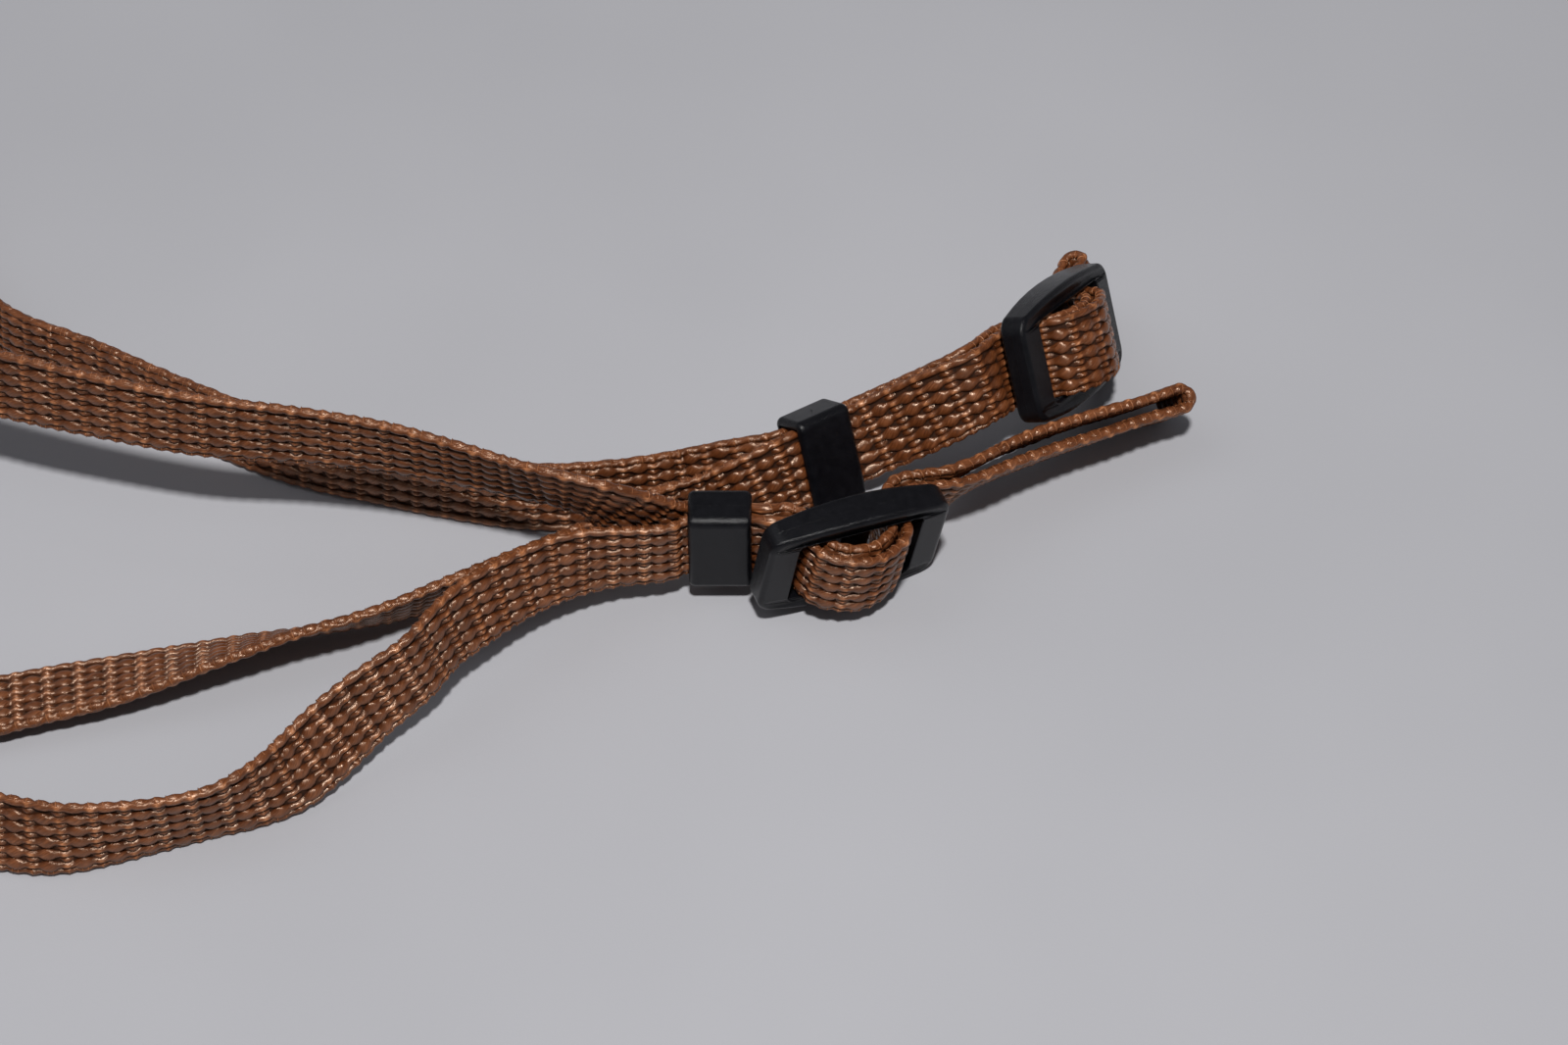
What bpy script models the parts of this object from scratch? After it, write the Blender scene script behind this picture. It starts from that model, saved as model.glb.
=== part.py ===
"""A camera neck strap of narrow woven webbing, with a keeper and a three-bar buckle at each end.

The strap lies on its edge on a flat surface, as one big loop whose two ends come together.
Units are metres and degrees, +Z is up, +X runs along the strap towards its two ends.
The origin is under the middle of the bounding box, on the surface that the strap lies on.
"""

import math

import bmesh
import bpy
from mathutils import Matrix, Vector

UP = Vector((0.0, 0.0, 1.0))

# Webbing
WEB_WIDTH = 0.010
WEB_THICK = 0.0015
WEB_EDGE = 0.00035
CLEAR = 0.0003

# Keeper: a plastic sleeve round two layers of webbing
KEEPER_LENGTH = 0.0076
KEEPER_WALL = 0.0009
KEEPER_CORNER = 0.0011
KEEPER_EDGE = 0.00035

# Buckle: two end bars, two side bars and a centre bar
END_BAR_WIDTH = 0.0037
END_BAR_THICK = 0.0033
CENTRE_BAR_WIDTH = 0.0038
CENTRE_BAR_THICK = 0.0020
BUCKLE_THICK = 0.0046
SIDE_BAR_AT_END = 0.0011
SIDE_BAR_BULGE = 0.0013
BUCKLE_CORNER = 0.0022
WINDOW_CORNER = 0.0008
BUCKLE_EDGE = 0.0005
SLOT_SIDE_CLEAR = 0.0004
SLOT_SLACK = 0.0012
SLOT_CLIMB = 75.0
STACK_BEND = 0.0024
STACK_ARCH = 0.0024
ARCH_BEND = 0.0055

# Eye: the folded end that takes the camera's lug, from the buckle's window to its tip
FRONT_EYE_LENGTH = 0.0405
BACK_EYE_LENGTH = 0.0085
EYE_TIP_RADIUS = 0.00125

# Layout of the strap on the surface
SHOWN_RUN = 0.100
LOOP_LENGTH = 0.235
LOOP_WIDTH = 0.165
LOOP_START = 0.93 * SHOWN_RUN
FRONT_KEEPER_LIFT = 0.0028
BACK_KEEPER_LIFT = 0.0004
BACK_BUCKLE_LIFT = 0.0006
END_SPREAD = (0.0122, 0.0142)

# Fineness of the curves
RUN_STEP = 0.0032
LOOP_STEP = 0.0075
END_STEP = 0.0028
ARC_STEPS = 4
BARREL_STEPS = 8
WEB_BEVEL_ANGLE = 55.0
PLASTIC_BEVEL_ANGLE = 50.0
PLASTIC_BEVEL_SEGMENTS = 2
MERGE_DISTANCE = 0.00001

# Worked out from the sizes above
LAYER_PITCH = WEB_THICK + CLEAR
STACK_HALF = WEB_THICK + CLEAR / 2
KEEPER_INNER_THICK = 2 * (STACK_HALF + CLEAR)
KEEPER_INNER_WIDTH = WEB_WIDTH + 2 * CLEAR
KEEPER_THICK = KEEPER_INNER_THICK + 2 * KEEPER_WALL
KEEPER_WIDTH = KEEPER_INNER_WIDTH + 2 * KEEPER_WALL
CLIMB = math.radians(SLOT_CLIMB)
BAR_STEP = (BUCKLE_THICK + CENTRE_BAR_THICK) / 2
SLOT_NEED = (2 * (STACK_HALF + CLEAR) + BAR_STEP * math.cos(CLIMB)) / math.sin(CLIMB)
SLOT_LENGTH = SLOT_NEED + SLOT_SLACK
WINDOW_LENGTH = 2 * SLOT_LENGTH + CENTRE_BAR_WIDTH
WINDOW_WIDTH = WEB_WIDTH + 2 * SLOT_SIDE_CLEAR
BUCKLE_LENGTH = WINDOW_LENGTH + 2 * END_BAR_WIDTH
BUCKLE_END_HALF = WINDOW_WIDTH / 2 + SIDE_BAR_AT_END
BUCKLE_MID_HALF = BUCKLE_END_HALF + SIDE_BAR_BULGE
# The webbing lies behind the end bars, which are thickest at the window's edge, and over the centre bar
WINDOW_EDGE_THICK = BUCKLE_THICK - (BUCKLE_THICK - END_BAR_THICK) * (WINDOW_LENGTH / BUCKLE_LENGTH) ** 2
BACK_OFFSET = WINDOW_EDGE_THICK / 2 + CLEAR + STACK_HALF
FRONT_OFFSET = CENTRE_BAR_THICK / 2 + CLEAR + STACK_HALF
STACK_RISE = BACK_OFFSET + FRONT_OFFSET
STRAIGHT_BEYOND = WINDOW_LENGTH / 2 + END_BAR_WIDTH / 3

# Where each keeper and buckle lies. Places are metres from the front keeper, angles are headings
# from +X, slopes up, and leans of the top edge to the right of the way towards the eye. The link is
# the webbing's way from the keeper's mouth to where it lies straight behind the buckle's end bar:
# length, heading and the share of the bar's width that it lies straight behind.
ENDS = {
    "front": {
        "keeper_place": (0.0, 0.0),
        "keeper_angles": (0.0, 0.0, 0.0),
        "keeper_lift": FRONT_KEEPER_LIFT,
        "link": (0.0018, -25.0, 0.33),
        "buckle_lift": 0.0,
        "buckle_angles": (23.6, -7.0, 6.0),
        "eye_length": FRONT_EYE_LENGTH,
        # share of the eye's length, heading, slope, lean
        "eye": (
            (0.07, 27.0, 0.0, 14.0),
            (0.16, 37.0, 0.0, 31.0),
            (0.26, 37.0, -5.0, 34.0),
            (0.45, 30.0, -6.0, 34.0),
            (0.70, 26.0, -4.5, 37.0),
            (1.00, 23.0, -2.0, 37.0),
        ),
    },
    "back": {
        "keeper_place": END_SPREAD,
        "keeper_angles": (36.0, -7.0, -30.0),
        "keeper_lift": BACK_KEEPER_LIFT,
        "link": (0.0190, 19.5, 1.0),
        "buckle_lift": BACK_BUCKLE_LIFT,
        "buckle_angles": (57.0, -20.0, -26.5),
        "eye_length": BACK_EYE_LENGTH,
        "eye": (
            (0.10, 62.0, -12.0, -26.0),
            (0.38, 69.0, 0.0, -25.5),
            (1.00, 71.0, 2.0, -24.0),
        ),
    },
}

# The neck run from the front keeper to the edge of what is seen: shares of SHOWN_RUN along and
# across from the front keeper, share of WEB_WIDTH under the lower edge, lean to the right
FRONT_RUN = (
    # along, across, lift, lean
    (-0.075, 0.009, 0.58, -6.0),
    (-0.130, 0.002, 1.02, -14.0),
    (-0.185, 0.010, 1.18, -17.0),
    (-0.242, 0.028, 1.18, -16.0),
    (-0.300, 0.044, 1.22, -12.0),
    (-0.390, 0.067, 1.26, -6.0),
    (-0.500, 0.083, 1.32, -2.0),
    (-0.620, 0.095, 1.36, 4.0),
    (-0.740, 0.121, 1.40, 7.0),
    (-0.866, 0.158, 1.40, 11.0),
)
# The loop's far stretch, out of sight: shares of LOOP_LENGTH beyond SHOWN_RUN and of LOOP_WIDTH
LOOP_RUN = (
    # along, across, lift, lean
    (0.12, 0.18, 1.10, 10.0),
    (0.32, 0.22, 0.50, 6.0),
    (0.54, 0.21, 0.07, 0.0),
    (0.75, 0.25, 0.01, 0.0),
    (0.91, 0.37, 0.0, 0.0),
    (1.00, 0.57, 0.0, 0.0),
    (0.99, 0.80, 0.0, 0.0),
    (0.86, 0.97, 0.0, -3.0),
    (0.67, 1.02, 0.0, -5.0),
    (0.47, 0.93, 0.0, -8.0),
    (0.27, 0.72, 0.0, -10.0),
    (0.10, 0.46, 0.0, -10.0),
)
# The neck run coming back, leaning away, to the back keeper
BACK_RUN = (
    (-0.924, 0.376, 0.0, -10.0),
    (-0.790, 0.304, 0.0, -10.0),
    (-0.658, 0.233, 0.0, -10.0),
    (-0.530, 0.172, 0.0, -10.0),
    (-0.430, 0.143, 0.0, -10.0),
    (-0.344, 0.120, 0.0, -10.0),
    (-0.223, 0.099, 0.0, -10.0),
    (-0.116, 0.105, 0.0, -14.0),
    (-0.044, 0.118, 0.0, -19.0),
    (0.025, 0.119, 0.18, -23.0),
)
# The free end at the front keeper
FRONT_TAIL = (
    (-0.060, -0.021, 0.40, 0.0),
    (-0.115, -0.029, 0.41, 2.0),
    (-0.155, -0.037, 0.43, 8.0),
    (-0.201, -0.056, 0.46, 12.0),
    (-0.246, -0.086, 0.48, 14.0),
    (-0.283, -0.117, 0.50, 18.0),
    (-0.319, -0.155, 0.48, 14.0),
    (-0.347, -0.194, 0.42, 14.0),
    (-0.404, -0.240, 0.28, 20.0),
    (-0.446, -0.278, 0.14, 27.0),
    (-0.484, -0.316, 0.03, 23.0),
    (-0.520, -0.343, 0.0, 9.0),
    (-0.562, -0.365, 0.0, -3.0),
    (-0.613, -0.382, 0.0, -4.0),
    (-0.668, -0.395, 0.0, 3.0),
    (-0.723, -0.404, 0.0, 12.0),
    (-0.764, -0.403, 0.0, 20.0),
    (-0.806, -0.395, 0.0, 24.0),
    (-0.920, -0.370, 0.0, 26.0),
)
# The free end at the back keeper, which passes under the neck run and turns flat
BACK_TAIL = (
    (0.035, 0.088, 0.22, 22.0),
    (-0.009, 0.083, 0.03, 14.0),
    (-0.067, 0.073, 0.0, 2.0),
    (-0.161, 0.026, 0.0, -9.0),
    (-0.262, -0.020, 0.0, -17.0),
    (-0.344, -0.056, 0.0, -24.0),
    (-0.390, -0.077, 0.0, -28.0),
    (-0.439, -0.092, 0.0, -34.0),
    (-0.497, -0.106, 0.0, -39.0),
    (-0.555, -0.121, 0.0, -47.0),
    (-0.613, -0.137, 0.0, -55.0),
    (-0.671, -0.153, 0.0, -64.0),
    (-0.729, -0.167, 0.0, -71.0),
    (-0.786, -0.180, 0.0, -74.0),
    (-0.843, -0.194, 0.0, -77.0),
    (-0.940, -0.216, 0.0, -80.0),
)

# How far the eye's two layers open: share of the eye's length, share of WEB_THICK on each side
EYE_OPENING = (
    (0.00, 0.00),
    (0.20, 0.05),
    (0.45, 0.22),
    (0.70, 0.24),
    (0.88, 0.12),
)


def direction(heading, slope):
    """Unit vector with a heading from +X and a slope up, both in degrees."""
    heading = math.radians(heading)
    slope = math.radians(slope)
    flat = math.cos(slope)
    return Vector((flat * math.cos(heading), flat * math.sin(heading), math.sin(slope)))


def web_frame(place, travel, lean):
    """Place, travel, width and face directions of webbing whose top edge leans to the right."""
    travel = travel.normalized()
    right = travel.cross(UP).normalized()
    lean = math.radians(lean)
    width = UP * math.cos(lean) + right * math.sin(lean)
    width = (width - travel * width.dot(travel)).normalized()
    return place, travel, width, travel.cross(width)


def mix_frames(first, second, share):
    """Frame between two frames."""
    place = first[0].lerp(second[0], share)
    travel = first[1].lerp(second[1], share).normalized()
    width = first[2].lerp(second[2], share)
    width = (width - travel * width.dot(travel)).normalized()
    return place, travel, width, travel.cross(width)


def hermite(start, end, start_rate, end_rate, share):
    """Value on the cubic between two values with the given rates of change."""
    square = share * share
    cube = square * share
    return (start * (2 * cube - 3 * square + 1) + start_rate * (cube - 2 * square + share)
            + end * (3 * square - 2 * cube) + end_rate * (cube - square))


def knot_rates(knots, chords):
    """Travel direction and change of lean along the curve at each knot."""
    last = len(knots) - 1
    rates = []
    for i, (place, lean, travel) in enumerate(knots):
        if travel is not None:
            rates.append((travel, 0.0))
            continue
        before = max(i - 1, 0)
        after = min(i + 1, last)
        back = (place - knots[before][0]) / chords[before] if i else Vector()
        ahead = (knots[after][0] - place) / chords[i] if i < last else Vector()
        turn = (knots[after][1] - knots[before][1]) / sum(chords[before:after])
        rates.append(((back + ahead).normalized(), turn))
    return rates


def smooth_route(knots, step):
    """Frames along one smooth curve through knots of (place, lean, travel or None)."""
    chords = [(after[0] - before[0]).length for before, after in zip(knots, knots[1:])]
    rates = knot_rates(knots, chords)
    points = []
    for i, chord in enumerate(chords):
        steps = max(1, round(chord / step))
        for k in range(steps):
            share = k / steps
            place = hermite(knots[i][0], knots[i + 1][0], rates[i][0] * chord, rates[i + 1][0] * chord, share)
            lean = hermite(knots[i][1], knots[i + 1][1], rates[i][1] * chord, rates[i + 1][1] * chord, share)
            points.append((place, lean, rates[i][0] if k == 0 else None))
    points.append((knots[-1][0], knots[-1][1], rates[-1][0]))
    route = []
    for i, (place, lean, travel) in enumerate(points):
        if travel is None:
            travel = points[i + 1][0] - points[i - 1][0]
        route.append(web_frame(place, travel, lean))
    return route


def edge_height(lift, lean):
    """Height of the webbing's middle over the surface when its lower edge has this lift."""
    lean = math.radians(lean)
    return lift + WEB_WIDTH / 2 * abs(math.cos(lean)) + WEB_THICK / 2 * abs(math.sin(lean))


def run_knots(rows):
    """Knots of a stretch that is seen, from its table."""
    knots = []
    for along, across, lift, lean in rows:
        height = edge_height(lift * WEB_WIDTH, lean)
        knots.append((Vector((along * SHOWN_RUN, across * SHOWN_RUN, height)), lean, None))
    return knots


def loop_knots():
    """Knots of the loop's far stretch."""
    knots = []
    for along, across, lift, lean in LOOP_RUN:
        height = edge_height(lift * WEB_WIDTH, lean)
        place = Vector((-LOOP_START - along * LOOP_LENGTH, across * LOOP_WIDTH, height))
        knots.append((place, lean, None))
    return knots


def thick_at(along):
    """The buckle's thickness: full in the middle, thinner towards its ends."""
    share = min(1.0, abs(along) / (BUCKLE_LENGTH / 2))
    return BUCKLE_THICK - (BUCKLE_THICK - END_BAR_THICK) * share ** 2


def half_width_at(along):
    """Half the buckle's width: barrel shaped."""
    return BUCKLE_MID_HALF - SIDE_BAR_BULGE * (2 * along / BUCKLE_LENGTH) ** 2


def corner_arc(centre, radius, start):
    """Points of a quarter circle that starts at an angle in degrees."""
    points = []
    for k in range(ARC_STEPS + 1):
        angle = math.radians(start + 90 * k / ARC_STEPS)
        points.append((centre[0] + radius * math.cos(angle), centre[1] + radius * math.sin(angle)))
    return points


def rounded_box(half_length, half_width, radius):
    """Outline of a rectangle with round corners."""
    long = half_length - radius
    wide = half_width - radius
    outline = []
    for centre, start in (((long, wide), 0), ((-long, wide), 90), ((-long, -wide), 180), ((long, -wide), 270)):
        outline += corner_arc(centre, radius, start)
    return outline


def barrel_outline():
    """Outline of the buckle seen from its face."""
    long = BUCKLE_LENGTH / 2 - BUCKLE_CORNER
    wide = half_width_at(long) - BUCKLE_CORNER
    outline = corner_arc((long, wide), BUCKLE_CORNER, 0)
    for k in range(1, BARREL_STEPS):
        along = long - 2 * long * k / BARREL_STEPS
        outline.append((along, half_width_at(along)))
    outline += corner_arc((-long, wide), BUCKLE_CORNER, 90)
    return outline + [(-along, -width) for along, width in outline]


def lowest_below(axes, outline, thickness):
    """How far a piece with this outline and these travel, width and face axes reaches below its middle."""
    travel, width, face = axes
    depths = []
    for along, across in outline:
        for side in (-0.5, 0.5):
            depths.append(travel.z * along + width.z * across + face.z * side * thickness(along))
    return -min(depths)


def end_spine(end):
    """Frames along the middle of the two layers of one end, and the places of keeper and buckle."""
    heading, slope, lean = end["keeper_angles"]
    out = direction(heading, slope)
    axes = web_frame(Vector(), out, lean)[1:]
    box = rounded_box(KEEPER_LENGTH / 2, KEEPER_WIDTH / 2, KEEPER_EDGE)
    height = end["keeper_lift"] + lowest_below(axes, box, lambda along: KEEPER_THICK)
    keeper = Vector((*end["keeper_place"], height))
    leave = keeper + out * (KEEPER_LENGTH / 2)

    heading, slope, buckle_lean = end["buckle_angles"]
    through = direction(heading, slope)
    axes = web_frame(Vector(), through, buckle_lean)[1:]
    link_length, link_heading, behind_bar = end["link"]
    reach = through * (WINDOW_LENGTH / 2 + END_BAR_WIDTH * behind_bar)
    enter = leave + direction(link_heading, 0) * link_length
    buckle = enter + reach
    depth = lowest_below(axes, barrel_outline(), thick_at)
    buckle.z = end["buckle_lift"] + depth - axes[2].z * BACK_OFFSET
    enter.z = buckle.z - reach.z
    beyond = buckle + through * STRAIGHT_BEYOND

    knots = [(keeper, lean, out), (leave, lean, out), (enter, buckle_lean, through),
             (buckle, buckle_lean, through), (beyond, buckle_lean, through)]
    spine = smooth_route(knots, END_STEP / 2)
    return spine[:-1] + smooth_eye(beyond, through, buckle_lean, end), keeper, buckle


def smooth_eye(start, travel, lean, end):
    """Frames along the eye, walked step by step with its headings, slopes and leans."""
    first = end["buckle_angles"]
    rows = ((0.0, first[0], first[1], lean),) + end["eye"]
    steps = max(8, round(end["eye_length"] / (END_STEP / 2)))
    stride = end["eye_length"] / steps
    place = start.copy()
    frames = [web_frame(place, travel, lean)]
    for k in range(1, steps + 1):
        heading, slope, lean = row_at(rows, (k - 0.5) / steps)
        travel = direction(heading, slope)
        place = place + travel * stride
        frames.append(web_frame(place, travel, lean))
    return frames


def row_at(rows, share):
    """Values of a table between its rows, eased from one row to the next."""
    for before, after in zip(rows, rows[1:]):
        if share <= after[0]:
            part = (share - before[0]) / (after[0] - before[0])
            part = part * part * (3 - 2 * part)
            return [a + (b - a) * part for a, b in zip(before[1:], after[1:])]
    return list(rows[-1][1:])


def spine_lengths(spine):
    """Length along the spine at each of its frames."""
    lengths = [0.0]
    for before, after in zip(spine, spine[1:]):
        lengths.append(lengths[-1] + (after[0] - before[0]).length)
    return lengths


def spine_frame(spine, lengths, at):
    """Frame of the spine at a length along it."""
    for i in range(len(lengths) - 2):
        if at < lengths[i + 1]:
            break
    else:
        i = len(lengths) - 2
    share = (at - lengths[i]) / (lengths[i + 1] - lengths[i])
    return mix_frames(spine[i], spine[i + 1], share)


def round_corners(corners):
    """Path of (along, out, angle) through corners of (along, out, radius), with arcs at them."""
    path = []
    for i, (along, out, radius) in enumerate(corners):
        if i in (0, len(corners) - 1):
            other = corners[1] if i == 0 else corners[-2]
            sign = 1 if i == 0 else -1
            angle = math.atan2(sign * (other[1] - out), sign * (other[0] - along))
            path.append((along, out, angle))
            continue
        before = corners[i - 1]
        after = corners[i + 1]
        angle_in = math.atan2(out - before[1], along - before[0])
        angle_out = math.atan2(after[1] - out, after[0] - along)
        turn = angle_out - angle_in
        reach = radius * math.tan(abs(turn) / 2)
        side = 1 if turn > 0 else -1
        start = (along - reach * math.cos(angle_in), out - reach * math.sin(angle_in))
        hub = (start[0] - side * radius * math.sin(angle_in), start[1] + side * radius * math.cos(angle_in))
        for k in range(ARC_STEPS + 1):
            angle = angle_in + turn * k / ARC_STEPS
            point = (hub[0] + side * radius * math.sin(angle), hub[1] - side * radius * math.cos(angle))
            path.append((point[0], point[1], angle))
    return path


def stack_path(buckle_at):
    """Middle of the two layers from the keeper, behind, over and behind the buckle's bars."""
    outer = WINDOW_LENGTH / 2 - (STACK_HALF + CLEAR) * math.tan(CLIMB / 2)
    inner = outer - STACK_RISE / math.tan(CLIMB)
    corners = [
        (CLEAR / 2, 0.0, 0.0),
        (buckle_at - outer, 0.0, STACK_BEND),
        (buckle_at - inner, STACK_RISE, STACK_BEND),
        (buckle_at, STACK_RISE + STACK_ARCH, ARCH_BEND),
        (buckle_at + inner, STACK_RISE, STACK_BEND),
        (buckle_at + outer, 0.0, STACK_BEND),
        (buckle_at + STRAIGHT_BEYOND, 0.0, 0.0),
    ]
    return round_corners(corners)


def shift_path(path, distance):
    """Path that runs beside another at a distance on its outer side."""
    shifted = []
    for along, out, angle in path:
        shifted.append((along - distance * math.sin(angle), out + distance * math.cos(angle)))
    return shifted


def eye_path(start_at, tip_at):
    """Far layer of the eye, round its tip: points of (along, out)."""
    centre_at = tip_at - EYE_TIP_RADIUS - WEB_THICK / 2
    steps = max(6, round((centre_at - start_at) / END_STEP))
    rows = EYE_OPENING + ((1.0, EYE_TIP_RADIUS / WEB_THICK - LAYER_PITCH / 2 / WEB_THICK),)
    path = []
    for k in range(1, steps):
        share = k / steps
        opening = row_at(rows, share)[0] * WEB_THICK
        path.append((start_at + (centre_at - start_at) * share, -LAYER_PITCH / 2 - opening))
    for k in range(ARC_STEPS + 1):
        angle = math.radians(-90 + 90 * k / ARC_STEPS)
        path.append((centre_at + EYE_TIP_RADIUS * math.cos(angle), EYE_TIP_RADIUS * math.sin(angle)))
    return path


def densify(path, step):
    """Path with extra points where its own lie further apart than the step."""
    dense = [path[0]]
    for before, after in zip(path, path[1:]):
        length = math.hypot(after[0] - before[0], after[1] - before[1])
        count = max(1, round(length / step))
        for k in range(1, count + 1):
            share = k / count
            dense.append(tuple(a + (b - a) * share for a, b in zip(before, after)))
    return dense


def end_stations(spine, buckle_at):
    """Stations of one end's webbing: out along the far layer, round the eye, back along the near."""
    lengths = spine_lengths(spine)
    stack = stack_path(buckle_at)
    end_at = stack[-1][0]
    far = shift_path(stack, -LAYER_PITCH / 2)
    near = shift_path(stack, LAYER_PITCH / 2)
    eye = eye_path(end_at, lengths[-1])
    eye_back = [(along, -out) for along, out in reversed(eye[:-1])]
    path = densify(far + eye + eye_back + near[::-1], END_STEP)
    stations = []
    for along, out in path:
        place, travel, width, face = spine_frame(spine, lengths, along)
        stations.append((place + face * out, width))
    return stations


def layer_start(spine, out):
    """Knots at a keeper's middle and mouth for a layer that leaves it away from the eye."""
    place, travel, width, face = spine[0]
    lean = math.degrees(math.atan2(width.dot(travel.cross(UP).normalized()), width.z))
    middle = place - travel * (CLEAR / 2) + face * out
    mouth = place - travel * (KEEPER_LENGTH / 2) + face * out
    return [(middle, -lean, -travel), (mouth, -lean, -travel)]


def reverse_knots(knots):
    """Knots for the same stretch travelled the other way."""
    return [(place, -lean, None if travel is None else -travel) for place, lean, travel in reversed(knots)]


def principled(name, colour, roughness):
    """Material with a plain colour."""
    material = bpy.data.materials.new(name)
    material.use_nodes = True
    shader = material.node_tree.nodes["Principled BSDF"]
    shader.inputs["Base Color"].default_value = (*colour, 1.0)
    shader.inputs["Roughness"].default_value = roughness
    shader.inputs["Metallic"].default_value = 0.0
    return material


def webbing_material(name):
    return principled(name + "_nylon", (0.147, 0.053, 0.021), 0.55)


def plastic_material(name):
    return principled(name + "_plastic", (0.011, 0.011, 0.013), 0.42)


def add_part(name, mesh, material, collection):
    """Object of one sub-part."""
    part = bpy.data.objects.new(name, mesh)
    mesh.materials.append(material)
    collection.objects.link(part)
    return part


def add_bevel(part, width, segments, angle):
    """Rounded edges where faces meet at more than an angle."""
    bevel = part.modifiers.new("edges", "BEVEL")
    bevel.width = width
    bevel.segments = segments
    bevel.limit_method = "ANGLE"
    bevel.angle_limit = math.radians(angle)
    bevel.harden_normals = False


def webbing(name, stations, collection):
    """Band of webbing: an open strip along its stations, thickened on both sides."""
    cage = bmesh.new()
    rows = []
    for place, width in stations:
        half = width * (WEB_WIDTH / 2)
        rows.append((cage.verts.new(place - half), cage.verts.new(place + half)))
    for before, after in zip(rows, rows[1:]):
        cage.faces.new((before[0], after[0], after[1], before[1]))
    mesh = bpy.data.meshes.new(name)
    cage.to_mesh(mesh)
    cage.free()
    part = add_part(name, mesh, webbing_material(name), collection)
    wall = part.modifiers.new("thickness", "SOLIDIFY")
    wall.thickness = WEB_THICK
    wall.offset = 0.0
    wall.use_even_offset = True
    add_bevel(part, WEB_EDGE, 1, WEB_BEVEL_ANGLE)
    return part


def prism_mesh(name, outlines, depth):
    """Mesh of flat outlines, the first one filled and the others cut out, extruded to a depth."""
    curve = bpy.data.curves.new(name, "CURVE")
    curve.dimensions = "2D"
    curve.fill_mode = "BOTH"
    curve.extrude = depth / 2
    for outline in outlines:
        spline = curve.splines.new("POLY")
        spline.points.add(len(outline) - 1)
        for point, (x, y) in zip(spline.points, outline):
            point.co = (x, y, 0.0, 1.0)
        spline.use_cyclic_u = True
    guide = bpy.data.objects.new(name + "_outline", curve)
    bpy.context.scene.collection.objects.link(guide)
    bpy.context.view_layer.update()
    graph = bpy.context.evaluated_depsgraph_get()
    mesh = bpy.data.meshes.new_from_object(guide.evaluated_get(graph))
    bpy.data.objects.remove(guide)
    cage = bmesh.new()
    cage.from_mesh(mesh)
    bmesh.ops.remove_doubles(cage, verts=cage.verts, dist=MERGE_DISTANCE)
    bmesh.ops.recalc_face_normals(cage, faces=cage.faces)
    cage.to_mesh(mesh)
    cage.free()
    mesh.name = name
    return mesh


def stand(part, place, travel, width):
    """Put a part with its X along the webbing and its Z across the webbing's width."""
    away = width.cross(travel)
    axes = Matrix((travel, away, width)).transposed()
    part.matrix_world = Matrix.Translation(place) @ axes.to_4x4()


def keeper(name, place, frame, collection):
    """Sleeve with a rectangular hole for two layers."""
    outer = rounded_box(KEEPER_THICK / 2, KEEPER_WIDTH / 2, KEEPER_CORNER)
    inner = rounded_box(KEEPER_INNER_THICK / 2, KEEPER_INNER_WIDTH / 2, CLEAR)
    mesh = prism_mesh(name, (outer, inner), KEEPER_LENGTH)
    # The outline was drawn across the sleeve: its depth becomes the length along X.
    mesh.transform(Matrix(((0, 0, 1, 0), (1, 0, 0, 0), (0, 1, 0, 0), (0, 0, 0, 1))))
    part = add_part(name, mesh, plastic_material(name), collection)
    add_bevel(part, KEEPER_EDGE, PLASTIC_BEVEL_SEGMENTS, PLASTIC_BEVEL_ANGLE)
    stand(part, place, frame[1], frame[2])
    return part


def centre_bar(name, collection):
    """Bar across the buckle's window, reaching into both side bars."""
    bpy.ops.mesh.primitive_cube_add(size=1)
    bar = bpy.context.object
    bar.name = name
    reach = WINDOW_WIDTH + 2 * BUCKLE_EDGE
    bar.data.transform(Matrix.Diagonal((CENTRE_BAR_WIDTH, CENTRE_BAR_THICK, reach, 1.0)))
    for owner in bar.users_collection:
        owner.objects.unlink(bar)
    collection.objects.link(bar)
    add_bevel(bar, BUCKLE_EDGE, PLASTIC_BEVEL_SEGMENTS, PLASTIC_BEVEL_ANGLE)
    bar.hide_render = True
    bar.display_type = "WIRE"
    return bar


def buckle(name, place, frame, collection, cutters):
    """Three-bar buckle: a barrel-shaped frame with a window and a thinner bar across it."""
    window = rounded_box(WINDOW_LENGTH / 2, WINDOW_WIDTH / 2, WINDOW_CORNER)
    mesh = prism_mesh(name, (barrel_outline(), window), BUCKLE_THICK)
    # Drawn on its back: stand it up, with the thickness along Y, and thin it towards its ends.
    mesh.transform(Matrix(((1, 0, 0, 0), (0, 0, -1, 0), (0, 1, 0, 0), (0, 0, 0, 1))))
    for corner in mesh.vertices:
        corner.co.y *= thick_at(corner.co.x) / BUCKLE_THICK
    part = add_part(name, mesh, plastic_material(name), collection)
    add_bevel(part, BUCKLE_EDGE, PLASTIC_BEVEL_SEGMENTS, PLASTIC_BEVEL_ANGLE)
    bar = centre_bar(name + "_centre_bar", cutters)
    join = part.modifiers.new("centre_bar", "BOOLEAN")
    join.operation = "UNION"
    join.solver = "EXACT"
    join.object = bar
    centre = place + frame[3] * BACK_OFFSET
    stand(part, centre, frame[1], frame[2])
    stand(bar, centre, frame[1], frame[2])
    return part


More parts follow.
